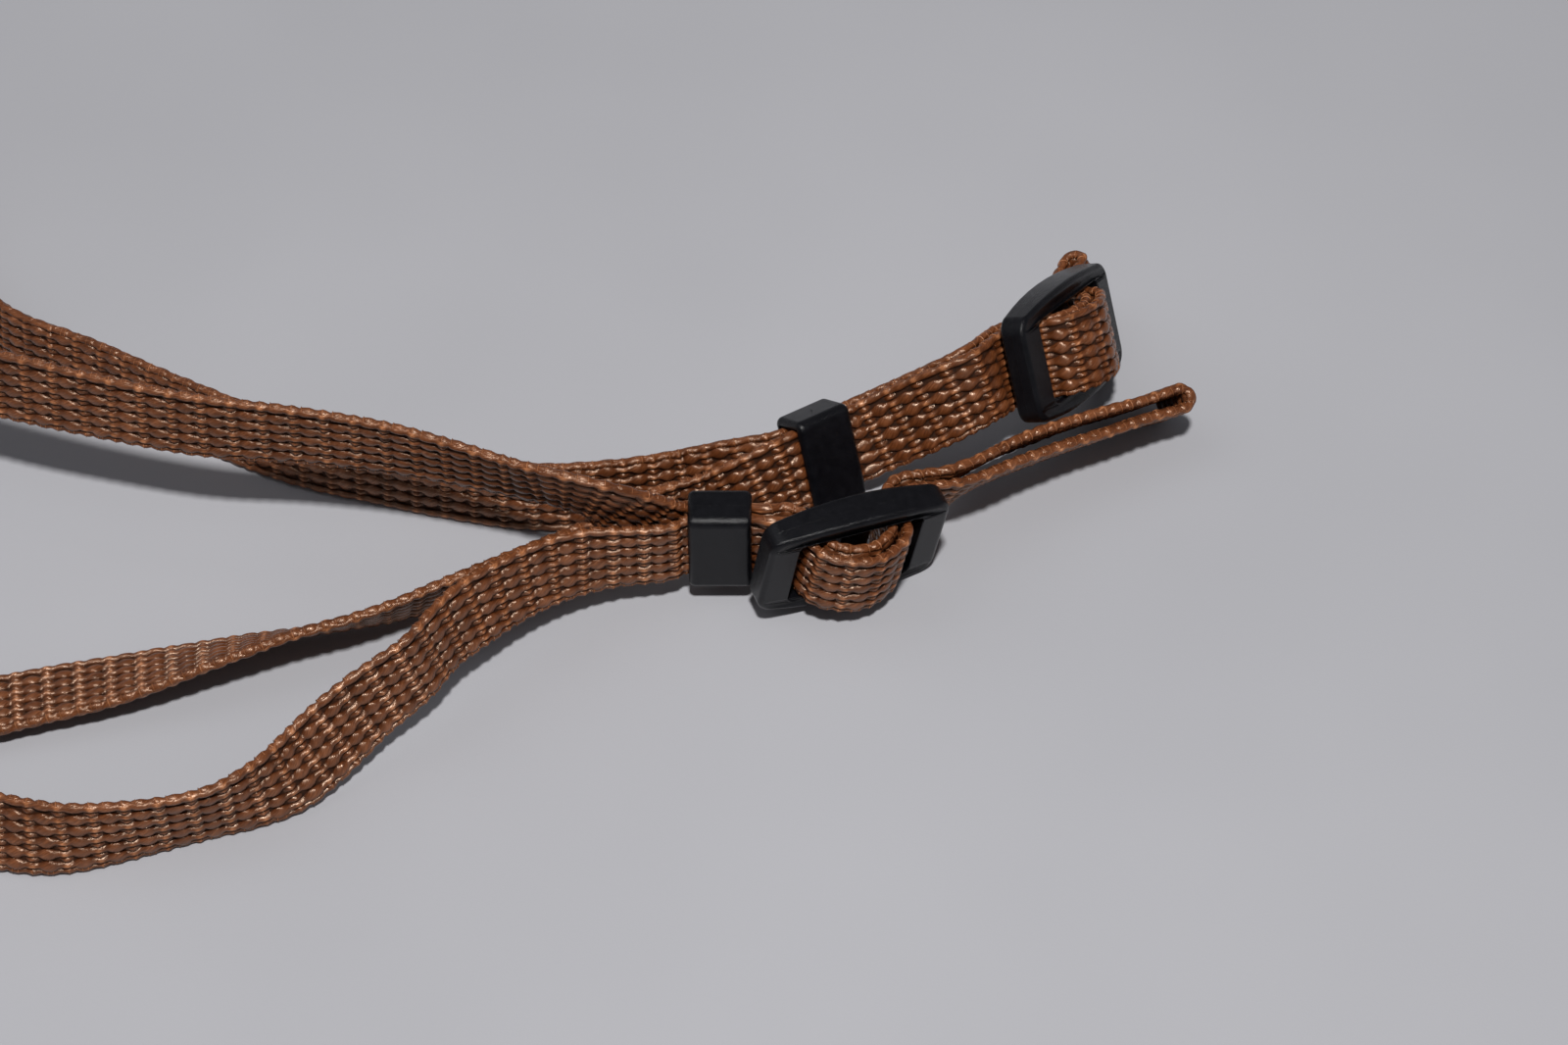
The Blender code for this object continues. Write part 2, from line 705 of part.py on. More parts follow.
def build_end(side, collection, cutters):
    """Keeper, buckle and eye webbing of one end. Gives its parts and its spine."""
    end = ENDS[side]
    spine, keeper_place, buckle_place = end_spine(end)
    lengths = spine_lengths(spine)
    near_buckle = min(range(len(spine)), key=lambda i: (spine[i][0] - buckle_place).length)
    stations = end_stations(spine, lengths[near_buckle])
    parts = [
        webbing(side + "_end", stations, collection),
        keeper(side + "_keeper", keeper_place, spine[0], collection),
        buckle(side + "_buckle", buckle_place, spine[near_buckle], collection, cutters),
    ]
    return parts, spine


def route_stations(route):
    return [(place, width) for place, travel, width, face in route]


def neck_routes(spines):
    """Routes of the neck run and the two free ends, which start inside the keepers."""
    far = -LAYER_PITCH / 2
    near = LAYER_PITCH / 2
    first = smooth_route(layer_start(spines["front"], far) + run_knots(FRONT_RUN) + loop_knots()[:1], RUN_STEP)
    last_knots = loop_knots()[-1:] + run_knots(BACK_RUN) + reverse_knots(layer_start(spines["back"], far))
    last = smooth_route(last_knots, RUN_STEP)
    front_tail = smooth_route(layer_start(spines["front"], near) + run_knots(FRONT_TAIL), RUN_STEP)
    back_tail = smooth_route(layer_start(spines["back"], near) + run_knots(BACK_TAIL), RUN_STEP)
    loop = loop_knots()
    joined = [(loop[0][0], loop[0][1], first[-1][1])] + loop[1:-1] + [(loop[-1][0], loop[-1][1], last[0][1])]
    middle = smooth_route(joined, LOOP_STEP)
    return first[:-1] + middle[:-1] + last, front_tail, back_tail


def set_on_origin(parts):
    """Move all parts so that the middle of the bottom of their bounding box is at the origin."""
    holder = bpy.data.objects.new("strap_origin", None)
    bpy.context.scene.collection.objects.link(holder)
    bpy.context.view_layer.update()
    graph = bpy.context.evaluated_depsgraph_get()
    low = Vector((math.inf,) * 3)
    high = Vector((-math.inf,) * 3)
    for part in parts:
        seen = part.evaluated_get(graph)
        for vertex in seen.data.vertices:
            place = seen.matrix_world @ vertex.co
            low = Vector(map(min, low, place))
            high = Vector(map(max, high, place))
    for part in parts + list(bpy.data.collections["cutters"].objects):
        part.parent = holder
    middle = (low + high) / 2
    holder.location = (-middle.x, -middle.y, -low.z)


def main():
    for old in list(bpy.data.objects):
        bpy.data.objects.remove(old)
    strap = bpy.data.collections.new("camera_strap")
    cutters = bpy.data.collections.new("cutters")
    for collection in (strap, cutters):
        bpy.context.scene.collection.children.link(collection)

    parts = []
    spines = {}
    for side in ENDS:
        end_parts, spines[side] = build_end(side, strap, cutters)
        parts += end_parts
    neck, front_tail, back_tail = neck_routes(spines)
    parts.append(webbing("strap_main", route_stations(neck), strap))
    parts.append(webbing("front_tail", route_stations(front_tail), strap))
    parts.append(webbing("back_tail", route_stations(back_tail), strap))
    set_on_origin(parts)


main()
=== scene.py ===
"""The looks of a camera neck strap: woven nylon webbing with moulded keepers and buckles.

It is laid out by the same routes and sizes as its CAD model, in metres.
"""

import math

import bmesh
import bpy
import numpy as np
from mathutils import Matrix, Vector


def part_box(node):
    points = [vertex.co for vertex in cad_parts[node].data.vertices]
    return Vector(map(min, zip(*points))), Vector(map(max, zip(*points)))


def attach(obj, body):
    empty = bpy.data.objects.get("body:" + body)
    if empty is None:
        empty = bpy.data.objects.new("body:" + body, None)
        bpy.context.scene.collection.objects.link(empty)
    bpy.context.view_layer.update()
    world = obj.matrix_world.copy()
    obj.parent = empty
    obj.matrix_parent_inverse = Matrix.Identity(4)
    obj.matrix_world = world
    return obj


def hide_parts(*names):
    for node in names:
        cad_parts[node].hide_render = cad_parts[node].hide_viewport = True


UP = Vector((0.0, 0.0, 1.0))

# Webbing
WEB_WIDTH = 0.010
WEB_THICK = 0.0015
CLEAR = 0.0003

# Keeper: a plastic sleeve round two layers of webbing
KEEPER_LENGTH = 0.0076
KEEPER_WALL = 0.0009
KEEPER_CORNER = 0.0011
KEEPER_EDGE = 0.00035

# Buckle: two end bars, two side bars and a centre bar
END_BAR_WIDTH = 0.0037
END_BAR_THICK = 0.0033
CENTRE_BAR_WIDTH = 0.0038
CENTRE_BAR_THICK = 0.0020
BUCKLE_THICK = 0.0046
SIDE_BAR_AT_END = 0.0011
SIDE_BAR_BULGE = 0.0013
BUCKLE_CORNER = 0.0022
WINDOW_CORNER = 0.0008
BUCKLE_EDGE = 0.0005
SLOT_SIDE_CLEAR = 0.0004
SLOT_SLACK = 0.0012
SLOT_CLIMB = 75.0
STACK_BEND = 0.0024
STACK_ARCH = 0.0024
ARCH_BEND = 0.0055

# Eye: the folded end that takes the camera's lug, from the buckle's window to its tip
FRONT_EYE_LENGTH = 0.0405
BACK_EYE_LENGTH = 0.0085
EYE_TIP_RADIUS = 0.00125

# Layout of the strap on the surface
SHOWN_RUN = 0.100
LOOP_LENGTH = 0.235
LOOP_WIDTH = 0.165
LOOP_START = 0.93 * SHOWN_RUN
FRONT_KEEPER_LIFT = 0.0028
BACK_KEEPER_LIFT = 0.0004
BACK_BUCKLE_LIFT = 0.0006
END_SPREAD = (0.0122, 0.0142)

# Fineness of the curves
RUN_STEP = 0.0032
LOOP_STEP = 0.0075
END_STEP = 0.0028
ARC_STEPS = 10
BARREL_STEPS = 8
PLASTIC_BEVEL_ANGLE = 50.0
SHELL_BEVEL_SEGMENTS = 5
BAR_BEVEL_SEGMENTS = 4
MERGE_DISTANCE = 0.00001

# Worked out from the sizes above
LAYER_PITCH = WEB_THICK + CLEAR
STACK_HALF = WEB_THICK + CLEAR / 2
KEEPER_INNER_THICK = 2 * (STACK_HALF + CLEAR)
KEEPER_INNER_WIDTH = WEB_WIDTH + 2 * CLEAR
KEEPER_THICK = KEEPER_INNER_THICK + 2 * KEEPER_WALL
KEEPER_WIDTH = KEEPER_INNER_WIDTH + 2 * KEEPER_WALL
CLIMB = math.radians(SLOT_CLIMB)
BAR_STEP = (BUCKLE_THICK + CENTRE_BAR_THICK) / 2
SLOT_NEED = (2 * (STACK_HALF + CLEAR) + BAR_STEP * math.cos(CLIMB)) / math.sin(CLIMB)
SLOT_LENGTH = SLOT_NEED + SLOT_SLACK
WINDOW_LENGTH = 2 * SLOT_LENGTH + CENTRE_BAR_WIDTH
WINDOW_WIDTH = WEB_WIDTH + 2 * SLOT_SIDE_CLEAR
BUCKLE_LENGTH = WINDOW_LENGTH + 2 * END_BAR_WIDTH
BUCKLE_END_HALF = WINDOW_WIDTH / 2 + SIDE_BAR_AT_END
BUCKLE_MID_HALF = BUCKLE_END_HALF + SIDE_BAR_BULGE
# The webbing lies behind the end bars, which are thickest at the window's edge, and over the centre bar
WINDOW_EDGE_THICK = BUCKLE_THICK - (BUCKLE_THICK - END_BAR_THICK) * (WINDOW_LENGTH / BUCKLE_LENGTH) ** 2
BACK_OFFSET = WINDOW_EDGE_THICK / 2 + CLEAR + STACK_HALF
FRONT_OFFSET = CENTRE_BAR_THICK / 2 + CLEAR + STACK_HALF
STACK_RISE = BACK_OFFSET + FRONT_OFFSET
STRAIGHT_BEYOND = WINDOW_LENGTH / 2 + END_BAR_WIDTH / 3

# Where each keeper and buckle lies. Places are metres from the front keeper, angles are headings
# from +X, slopes up, and leans of the top edge to the right of the way towards the eye. The link is
# the webbing's way from the keeper's mouth to where it lies straight behind the buckle's end bar:
# length, heading and the share of the bar's width that it lies straight behind.
ENDS = {
    "front": {
        "keeper_place": (0.0, 0.0),
        "keeper_angles": (0.0, 0.0, 0.0),
        "keeper_lift": FRONT_KEEPER_LIFT,
        "link": (0.0018, -25.0, 0.33),
        "buckle_lift": 0.0,
        "buckle_angles": (23.6, -7.0, 6.0),
        "eye_length": FRONT_EYE_LENGTH,
        # share of the eye's length, heading, slope, lean
        "eye": (
            (0.07, 27.0, 0.0, 14.0),
            (0.16, 37.0, 0.0, 31.0),
            (0.26, 37.0, -5.0, 34.0),
            (0.45, 30.0, -6.0, 34.0),
            (0.70, 26.0, -4.5, 37.0),
            (1.00, 23.0, -2.0, 37.0),
        ),
    },
    "back": {
        "keeper_place": END_SPREAD,
        "keeper_angles": (36.0, -7.0, -30.0),
        "keeper_lift": BACK_KEEPER_LIFT,
        "link": (0.0190, 19.5, 1.0),
        "buckle_lift": BACK_BUCKLE_LIFT,
        "buckle_angles": (57.0, -20.0, -26.5),
        "eye_length": BACK_EYE_LENGTH,
        "eye": (
            (0.10, 62.0, -12.0, -26.0),
            (0.38, 69.0, 0.0, -25.5),
            (1.00, 71.0, 2.0, -24.0),
        ),
    },
}

# The neck run from the front keeper to the edge of what is seen: shares of SHOWN_RUN along and
# across from the front keeper, share of WEB_WIDTH under the lower edge, lean to the right
FRONT_RUN = (
    # along, across, lift, lean
    (-0.075, 0.009, 0.58, -6.0),
    (-0.130, 0.002, 1.02, -14.0),
    (-0.185, 0.010, 1.18, -17.0),
    (-0.242, 0.028, 1.18, -16.0),
    (-0.300, 0.044, 1.22, -12.0),
    (-0.390, 0.067, 1.26, -6.0),
    (-0.500, 0.083, 1.32, -2.0),
    (-0.620, 0.095, 1.36, 4.0),
    (-0.740, 0.121, 1.40, 7.0),
    (-0.866, 0.158, 1.40, 11.0),
)
# The loop's far stretch, out of sight: shares of LOOP_LENGTH beyond SHOWN_RUN and of LOOP_WIDTH
LOOP_RUN = (
    # along, across, lift, lean
    (0.12, 0.18, 1.10, 10.0),
    (0.32, 0.22, 0.50, 6.0),
    (0.54, 0.21, 0.07, 0.0),
    (0.75, 0.25, 0.01, 0.0),
    (0.91, 0.37, 0.0, 0.0),
    (1.00, 0.57, 0.0, 0.0),
    (0.99, 0.80, 0.0, 0.0),
    (0.86, 0.97, 0.0, -3.0),
    (0.67, 1.02, 0.0, -5.0),
    (0.47, 0.93, 0.0, -8.0),
    (0.27, 0.72, 0.0, -10.0),
    (0.10, 0.46, 0.0, -10.0),
)
# The neck run coming back, leaning away, to the back keeper
BACK_RUN = (
    (-0.924, 0.376, 0.0, -10.0),
    (-0.790, 0.304, 0.0, -10.0),
    (-0.658, 0.233, 0.0, -10.0),
    (-0.530, 0.172, 0.0, -10.0),
    (-0.430, 0.143, 0.0, -10.0),
    (-0.344, 0.120, 0.0, -10.0),
    (-0.223, 0.099, 0.0, -10.0),
    (-0.116, 0.105, 0.0, -14.0),
    (-0.044, 0.118, 0.0, -19.0),
    (0.025, 0.119, 0.18, -23.0),
)
# The free end at the front keeper
FRONT_TAIL = (
    (-0.060, -0.021, 0.40, 0.0),
    (-0.115, -0.029, 0.41, 2.0),
    (-0.155, -0.037, 0.43, 8.0),
    (-0.201, -0.056, 0.46, 12.0),
    (-0.246, -0.086, 0.48, 14.0),
    (-0.283, -0.117, 0.50, 18.0),
    (-0.319, -0.155, 0.48, 14.0),
    (-0.347, -0.194, 0.42, 14.0),
    (-0.404, -0.240, 0.28, 20.0),
    (-0.446, -0.278, 0.14, 27.0),
    (-0.484, -0.316, 0.03, 23.0),
    (-0.520, -0.343, 0.0, 9.0),
    (-0.562, -0.365, 0.0, -3.0),
    (-0.613, -0.382, 0.0, -4.0),
    (-0.668, -0.395, 0.0, 3.0),
    (-0.723, -0.404, 0.0, 12.0),
    (-0.764, -0.403, 0.0, 20.0),
    (-0.806, -0.395, 0.0, 24.0),
    (-0.920, -0.370, 0.0, 26.0),
)
# The free end at the back keeper, which passes under the neck run and turns flat
BACK_TAIL = (
    (0.035, 0.088, 0.22, 22.0),
    (-0.009, 0.083, 0.03, 14.0),
    (-0.067, 0.073, 0.0, 2.0),
    (-0.161, 0.026, 0.0, -9.0),
    (-0.262, -0.020, 0.0, -17.0),
    (-0.344, -0.056, 0.0, -24.0),
    (-0.390, -0.077, 0.0, -28.0),
    (-0.439, -0.092, 0.0, -34.0),
    (-0.497, -0.106, 0.0, -39.0),
    (-0.555, -0.121, 0.0, -47.0),
    (-0.613, -0.137, 0.0, -55.0),
    (-0.671, -0.153, 0.0, -64.0),
    (-0.729, -0.167, 0.0, -71.0),
    (-0.786, -0.180, 0.0, -74.0),
    (-0.843, -0.194, 0.0, -77.0),
    (-0.940, -0.216, 0.0, -80.0),
)

# How far the eye's two layers open: share of the eye's length, share of WEB_THICK on each side
EYE_OPENING = (
    (0.00, 0.00),
    (0.20, 0.05),
    (0.45, 0.22),
    (0.70, 0.24),
    (0.88, 0.12),
)

# The weave: pairs of ribs repeat along the band. On each face one half of the warp yarns swells at
# the wide rib, and all of the yarns stand side by side at the narrow rib. They dip between the ribs.
WEAVE_REPEAT = 0.0037
WARPS = 12
WARP_PITCH = 0.000833
WARP_HIGH = 0.00038
WARP_LOW = 0.00005
WARP_WIDE = 0.00086
WARP_NARROW = 0.00046
WARP_TALL_WIDE = 0.00037
WARP_TALL_NARROW = 0.00074
# Powers that round the yarns' swelling at the wide and at the narrow rib
RIB_ROUND = (0.5, 1.1)
RIB_NOTCH = 0.40
PLY_GROOVE = 0.10
PLY_TWIST = 0.0062
SELVEDGE_AT = 0.00462
SELVEDGE_WIDE = 0.00030
SELVEDGE_TALL = 0.00055
SELVEDGE_SCALLOP = 0.00032
SELVEDGE_GROOVE = 0.06
YARN_WANDER = 0.00003
YARN_SWELL = 0.06
# Weft thread over the edges: place in the repeat, radius
PICKS = ((0.5, 0.000085), (-0.10, 0.00005), (0.10, 0.00005))
PICK_END_MARGIN = 0.0004
PICK_TINT = 1.6
CORE_WIDTH = 0.0092
CORE_THICK = 0.0004
CORE_STEPS = 6

# Fineness of the yarns: (steps in a repeat, sides)
SEEN_YARN = (12, 10)
FAR_YARN = (8, 6)
# How much of the neck run has fine yarns, from each keeper
SEEN_RUN = 0.104

# Moulded plastic: the gate mark's radius, the rounding of outer edges and the hole edges' share of it
GATE_SIZE = 0.00035
KEEPER_EDGE_SEEN = 0.00074
BUCKLE_EDGE_SEEN = 0.0007
KEEPER_MOUTH_SHARE = 0.12
BUCKLE_WINDOW_SHARE = 0.3

# The photograph's camera: focal length in pixels of its frame, distance and height angle
FRAME_WIDTH = 1600
SENSOR_WIDTH = 36.0
CAMERA_FOCAL = 3390
CAMERA_DISTANCE = 0.410
CAMERA_ELEVATION = 50.0
FLOOR_HALF = 3
FLOOR_DROP = 0.0001


def direction(heading, slope):
    """Unit vector with a heading from +X and a slope up, both in degrees."""
    heading = math.radians(heading)
    slope = math.radians(slope)
    flat = math.cos(slope)
    return Vector((flat * math.cos(heading), flat * math.sin(heading), math.sin(slope)))


def web_frame(place, travel, lean):
    """Place, travel, width and face directions of webbing whose top edge leans to the right."""
    travel = travel.normalized()
    right = travel.cross(UP).normalized()
    lean = math.radians(lean)
    width = UP * math.cos(lean) + right * math.sin(lean)
    width = (width - travel * width.dot(travel)).normalized()
    return place, travel, width, travel.cross(width)


def mix_frames(first, second, share):
    """Frame between two frames."""
    place = first[0].lerp(second[0], share)
    travel = first[1].lerp(second[1], share).normalized()
    width = first[2].lerp(second[2], share)
    width = (width - travel * width.dot(travel)).normalized()
    return place, travel, width, travel.cross(width)


def hermite(start, end, start_rate, end_rate, share):
    """Value on the cubic between two values with the given rates of change."""
    square = share * share
    cube = square * share
    return (start * (2 * cube - 3 * square + 1) + start_rate * (cube - 2 * square + share)
            + end * (3 * square - 2 * cube) + end_rate * (cube - square))


def knot_rates(knots, chords):
    """Travel direction and change of lean along the curve at each knot."""
    last = len(knots) - 1
    rates = []
    for i, (place, lean, travel) in enumerate(knots):
        if travel is not None:
            rates.append((travel, 0.0))
            continue
        before = max(i - 1, 0)
        after = min(i + 1, last)
        back = (place - knots[before][0]) / chords[before] if i else Vector()
        ahead = (knots[after][0] - place) / chords[i] if i < last else Vector()
        turn = (knots[after][1] - knots[before][1]) / sum(chords[before:after])
        rates.append(((back + ahead).normalized(), turn))
    return rates


def smooth_route(knots, step):
    """Frames along one smooth curve through knots of (place, lean, travel or None)."""
    chords = [(after[0] - before[0]).length for before, after in zip(knots, knots[1:])]
    rates = knot_rates(knots, chords)
    points = []
    for i, chord in enumerate(chords):
        steps = max(1, round(chord / step))
        for k in range(steps):
            share = k / steps
            place, lean = (hermite(knots[i][j], knots[i + 1][j], rates[i][j] * chord,
                                   rates[i + 1][j] * chord, share) for j in (0, 1))
            points.append((place, lean, rates[i][0] if k == 0 else None))
    points.append((knots[-1][0], knots[-1][1], rates[-1][0]))
    route = []
    for i, (place, lean, travel) in enumerate(points):
        if travel is None:
            travel = points[i + 1][0] - points[i - 1][0]
        route.append(web_frame(place, travel, lean))
    return route


def edge_height(lift, lean):
    """Height of the webbing's middle over the surface when its lower edge has this lift."""
    lean = math.radians(lean)
    return lift + WEB_WIDTH / 2 * abs(math.cos(lean)) + WEB_THICK / 2 * abs(math.sin(lean))


def run_knots(rows):
    """Knots of a stretch that is seen, from its table."""
    knots = []
    for along, across, lift, lean in rows:
        height = edge_height(lift * WEB_WIDTH, lean)
        knots.append((Vector((along * SHOWN_RUN, across * SHOWN_RUN, height)), lean, None))
    return knots


def loop_knots():
    """Knots of the loop's far stretch."""
    knots = []
    for along, across, lift, lean in LOOP_RUN:
        height = edge_height(lift * WEB_WIDTH, lean)
        place = Vector((-LOOP_START - along * LOOP_LENGTH, across * LOOP_WIDTH, height))
        knots.append((place, lean, None))
    return knots


def thick_at(along):
    """The buckle's thickness: full in the middle, thinner towards its ends."""
    share = min(1.0, abs(along) / (BUCKLE_LENGTH / 2))
    return BUCKLE_THICK - (BUCKLE_THICK - END_BAR_THICK) * share ** 2


def half_width_at(along):
    """Half the buckle's width: barrel shaped."""
    return BUCKLE_MID_HALF - SIDE_BAR_BULGE * (2 * along / BUCKLE_LENGTH) ** 2


def corner_arc(centre, radius, start):
    """Points of a quarter circle that starts at an angle in degrees."""
    points = []
    for k in range(ARC_STEPS + 1):
        angle = math.radians(start + 90 * k / ARC_STEPS)
        points.append((centre[0] + radius * math.cos(angle), centre[1] + radius * math.sin(angle)))
    return points


def rounded_box(half_length, half_width, radius):
    """Outline of a rectangle with round corners."""
    long = half_length - radius
    wide = half_width - radius
    outline = []
    for k, centre in enumerate(((long, wide), (-long, wide), (-long, -wide), (long, -wide))):
        outline += corner_arc(centre, radius, 90 * k)
    return outline


def barrel_outline():
    """Outline of the buckle seen from its face."""
    long = BUCKLE_LENGTH / 2 - BUCKLE_CORNER
    wide = half_width_at(long) - BUCKLE_CORNER
    outline = corner_arc((long, wide), BUCKLE_CORNER, 0)
    for k in range(1, BARREL_STEPS):
        along = long - 2 * long * k / BARREL_STEPS
        outline.append((along, half_width_at(along)))
    outline += corner_arc((-long, wide), BUCKLE_CORNER, 90)
    return outline + [(-along, -width) for along, width in outline]


def lowest_below(axes, outline, thickness):
    """How far a piece with this outline and these travel, width and face axes reaches below its middle."""
    travel, width, face = axes
    depths = []
    for along, across in outline:
        for side in (-0.5, 0.5):
            depths.append(travel.z * along + width.z * across + face.z * side * thickness(along))
    return -min(depths)


def end_spine(end):
    """Frames along the middle of the two layers of one end, and the places of keeper and buckle."""
    heading, slope, lean = end["keeper_angles"]
    out = direction(heading, slope)
    axes = web_frame(Vector(), out, lean)[1:]
    box = rounded_box(KEEPER_LENGTH / 2, KEEPER_WIDTH / 2, KEEPER_EDGE)
    height = end["keeper_lift"] + lowest_below(axes, box, lambda along: KEEPER_THICK)
    keeper = Vector((*end["keeper_place"], height))
    leave = keeper + out * (KEEPER_LENGTH / 2)

    heading, slope, buckle_lean = end["buckle_angles"]
    through = direction(heading, slope)
    axes = web_frame(Vector(), through, buckle_lean)[1:]
    link_length, link_heading, behind_bar = end["link"]
    reach = through * (WINDOW_LENGTH / 2 + END_BAR_WIDTH * behind_bar)
    enter = leave + direction(link_heading, 0) * link_length
    buckle = enter + reach
    depth = lowest_below(axes, barrel_outline(), thick_at)
    buckle.z = end["buckle_lift"] + depth - axes[2].z * BACK_OFFSET
    enter.z = buckle.z - reach.z
    beyond = buckle + through * STRAIGHT_BEYOND

    knots = [(keeper, lean, out), (leave, lean, out), (enter, buckle_lean, through),
             (buckle, buckle_lean, through), (beyond, buckle_lean, through)]
    spine = smooth_route(knots, END_STEP / 2)
    return spine[:-1] + smooth_eye(beyond, through, buckle_lean, end), keeper, buckle


def smooth_eye(start, travel, lean, end):
    """Frames along the eye, walked step by step with its headings, slopes and leans."""
    first = end["buckle_angles"]
    rows = ((0.0, first[0], first[1], lean),) + end["eye"]
    steps = max(8, round(end["eye_length"] / (END_STEP / 2)))
    stride = end["eye_length"] / steps
    place = start.copy()
    frames = [web_frame(place, travel, lean)]
    for k in range(1, steps + 1):
        heading, slope, lean = row_at(rows, (k - 0.5) / steps)
        travel = direction(heading, slope)
        place = place + travel * stride
        frames.append(web_frame(place, travel, lean))
    return frames


def row_at(rows, share):
    """Values of a table between its rows, eased from one row to the next."""
    for before, after in zip(rows, rows[1:]):
        if share <= after[0]:
            part = (share - before[0]) / (after[0] - before[0])
            part = part * part * (3 - 2 * part)
            return [a + (b - a) * part for a, b in zip(before[1:], after[1:])]
    return list(rows[-1][1:])


def spine_lengths(spine):
    """Length along the spine at each of its frames."""
    lengths = [0.0]
    for before, after in zip(spine, spine[1:]):
        lengths.append(lengths[-1] + (after[0] - before[0]).length)
    return lengths


def spine_frame(spine, lengths, at):
    """Frame of the spine at a length along it."""
    for i in range(len(lengths) - 2):
        if at < lengths[i + 1]:
            break
    else:
        i = len(lengths) - 2
    share = (at - lengths[i]) / (lengths[i + 1] - lengths[i])
    return mix_frames(spine[i], spine[i + 1], share)


def round_corners(corners):
    """Path of (along, out, angle) through corners of (along, out, radius), with arcs at them."""
    path = []
    for i, (along, out, radius) in enumerate(corners):
        if i in (0, len(corners) - 1):
            other = corners[1] if i == 0 else corners[-2]
            sign = 1 if i == 0 else -1
            angle = math.atan2(sign * (other[1] - out), sign * (other[0] - along))
            path.append((along, out, angle))
            continue
        before = corners[i - 1]
        after = corners[i + 1]
        angle_in = math.atan2(out - before[1], along - before[0])
        angle_out = math.atan2(after[1] - out, after[0] - along)
        turn = angle_out - angle_in
        reach = radius * math.tan(abs(turn) / 2)
        side = 1 if turn > 0 else -1
        start = (along - reach * math.cos(angle_in), out - reach * math.sin(angle_in))
        hub = (start[0] - side * radius * math.sin(angle_in), start[1] + side * radius * math.cos(angle_in))
        for k in range(ARC_STEPS + 1):
            angle = angle_in + turn * k / ARC_STEPS
            point = (hub[0] + side * radius * math.sin(angle), hub[1] - side * radius * math.cos(angle))
            path.append((point[0], point[1], angle))
    return path


def stack_path(buckle_at):
    """Middle of the two layers from the keeper, behind, over and behind the buckle's bars."""
    outer = WINDOW_LENGTH / 2 - (STACK_HALF + CLEAR) * math.tan(CLIMB / 2)
    inner = outer - STACK_RISE / math.tan(CLIMB)
    corners = [
        (CLEAR / 2, 0.0, 0.0),
        (buckle_at - outer, 0.0, STACK_BEND),
        (buckle_at - inner, STACK_RISE, STACK_BEND),
        (buckle_at, STACK_RISE + STACK_ARCH, ARCH_BEND),
        (buckle_at + inner, STACK_RISE, STACK_BEND),
        (buckle_at + outer, 0.0, STACK_BEND),
        (buckle_at + STRAIGHT_BEYOND, 0.0, 0.0),
    ]
    return round_corners(corners)


def shift_path(path, distance):
    """Path that runs beside another at a distance on its outer side."""
    shifted = []
    for along, out, angle in path:
        shifted.append((along - distance * math.sin(angle), out + distance * math.cos(angle)))
    return shifted


def eye_path(start_at, tip_at):
    """Far layer of the eye, round its tip: points of (along, out)."""
    centre_at = tip_at - EYE_TIP_RADIUS - WEB_THICK / 2
    steps = max(6, round((centre_at - start_at) / END_STEP))
    rows = EYE_OPENING + ((1.0, EYE_TIP_RADIUS / WEB_THICK - LAYER_PITCH / 2 / WEB_THICK),)
    path = []
    for k in range(1, steps):
        share = k / steps
        opening = row_at(rows, share)[0] * WEB_THICK
        path.append((start_at + (centre_at - start_at) * share, -LAYER_PITCH / 2 - opening))
    for k in range(ARC_STEPS + 1):
        angle = math.radians(-90 + 90 * k / ARC_STEPS)
        path.append((centre_at + EYE_TIP_RADIUS * math.cos(angle), EYE_TIP_RADIUS * math.sin(angle)))
    return path


def densify(path, step):
    """Path with extra points where its own lie further apart than the step."""
    dense = [path[0]]
    for before, after in zip(path, path[1:]):
        length = math.hypot(after[0] - before[0], after[1] - before[1])
        count = max(1, round(length / step))
        for k in range(1, count + 1):
            share = k / count
            dense.append(tuple(a + (b - a) * share for a, b in zip(before, after)))
    return dense


def end_stations(spine, buckle_at):
    """Stations of one end's webbing: out along the far layer, round the eye, back along the near."""
    lengths = spine_lengths(spine)
    stack = stack_path(buckle_at)
    end_at = stack[-1][0]
    far = shift_path(stack, -LAYER_PITCH / 2)
    near = shift_path(stack, LAYER_PITCH / 2)
    eye = eye_path(end_at, lengths[-1])
    eye_back = [(along, -out) for along, out in reversed(eye[:-1])]
    path = densify(far + eye + eye_back + near[::-1], END_STEP)
    stations = []
    for along, out in path:
        place, travel, width, face = spine_frame(spine, lengths, along)
        stations.append((place + face * out, width))
    return stations


def layer_start(spine, out):
    """Knots at a keeper's middle and mouth for a layer that leaves it away from the eye."""
    place, travel, width, face = spine[0]
    lean = math.degrees(math.atan2(width.dot(travel.cross(UP).normalized()), width.z))
    middle = place - travel * (CLEAR / 2) + face * out
    mouth = place - travel * (KEEPER_LENGTH / 2) + face * out
    return [(middle, -lean, -travel), (mouth, -lean, -travel)]


def reverse_knots(knots):
    """Knots for the same stretch travelled the other way."""
    return [(place, -lean, None if travel is None else -travel) for place, lean, travel in reversed(knots)]


def add_bevel(part, width, segments, angle):
    """Rounded edges where faces meet at more than an angle."""
    bevel = part.modifiers.new("edges", "BEVEL")
    bevel.width = width
    bevel.segments = segments
    bevel.limit_method = "ANGLE"
    bevel.angle_limit = math.radians(angle)
    bevel.harden_normals = False


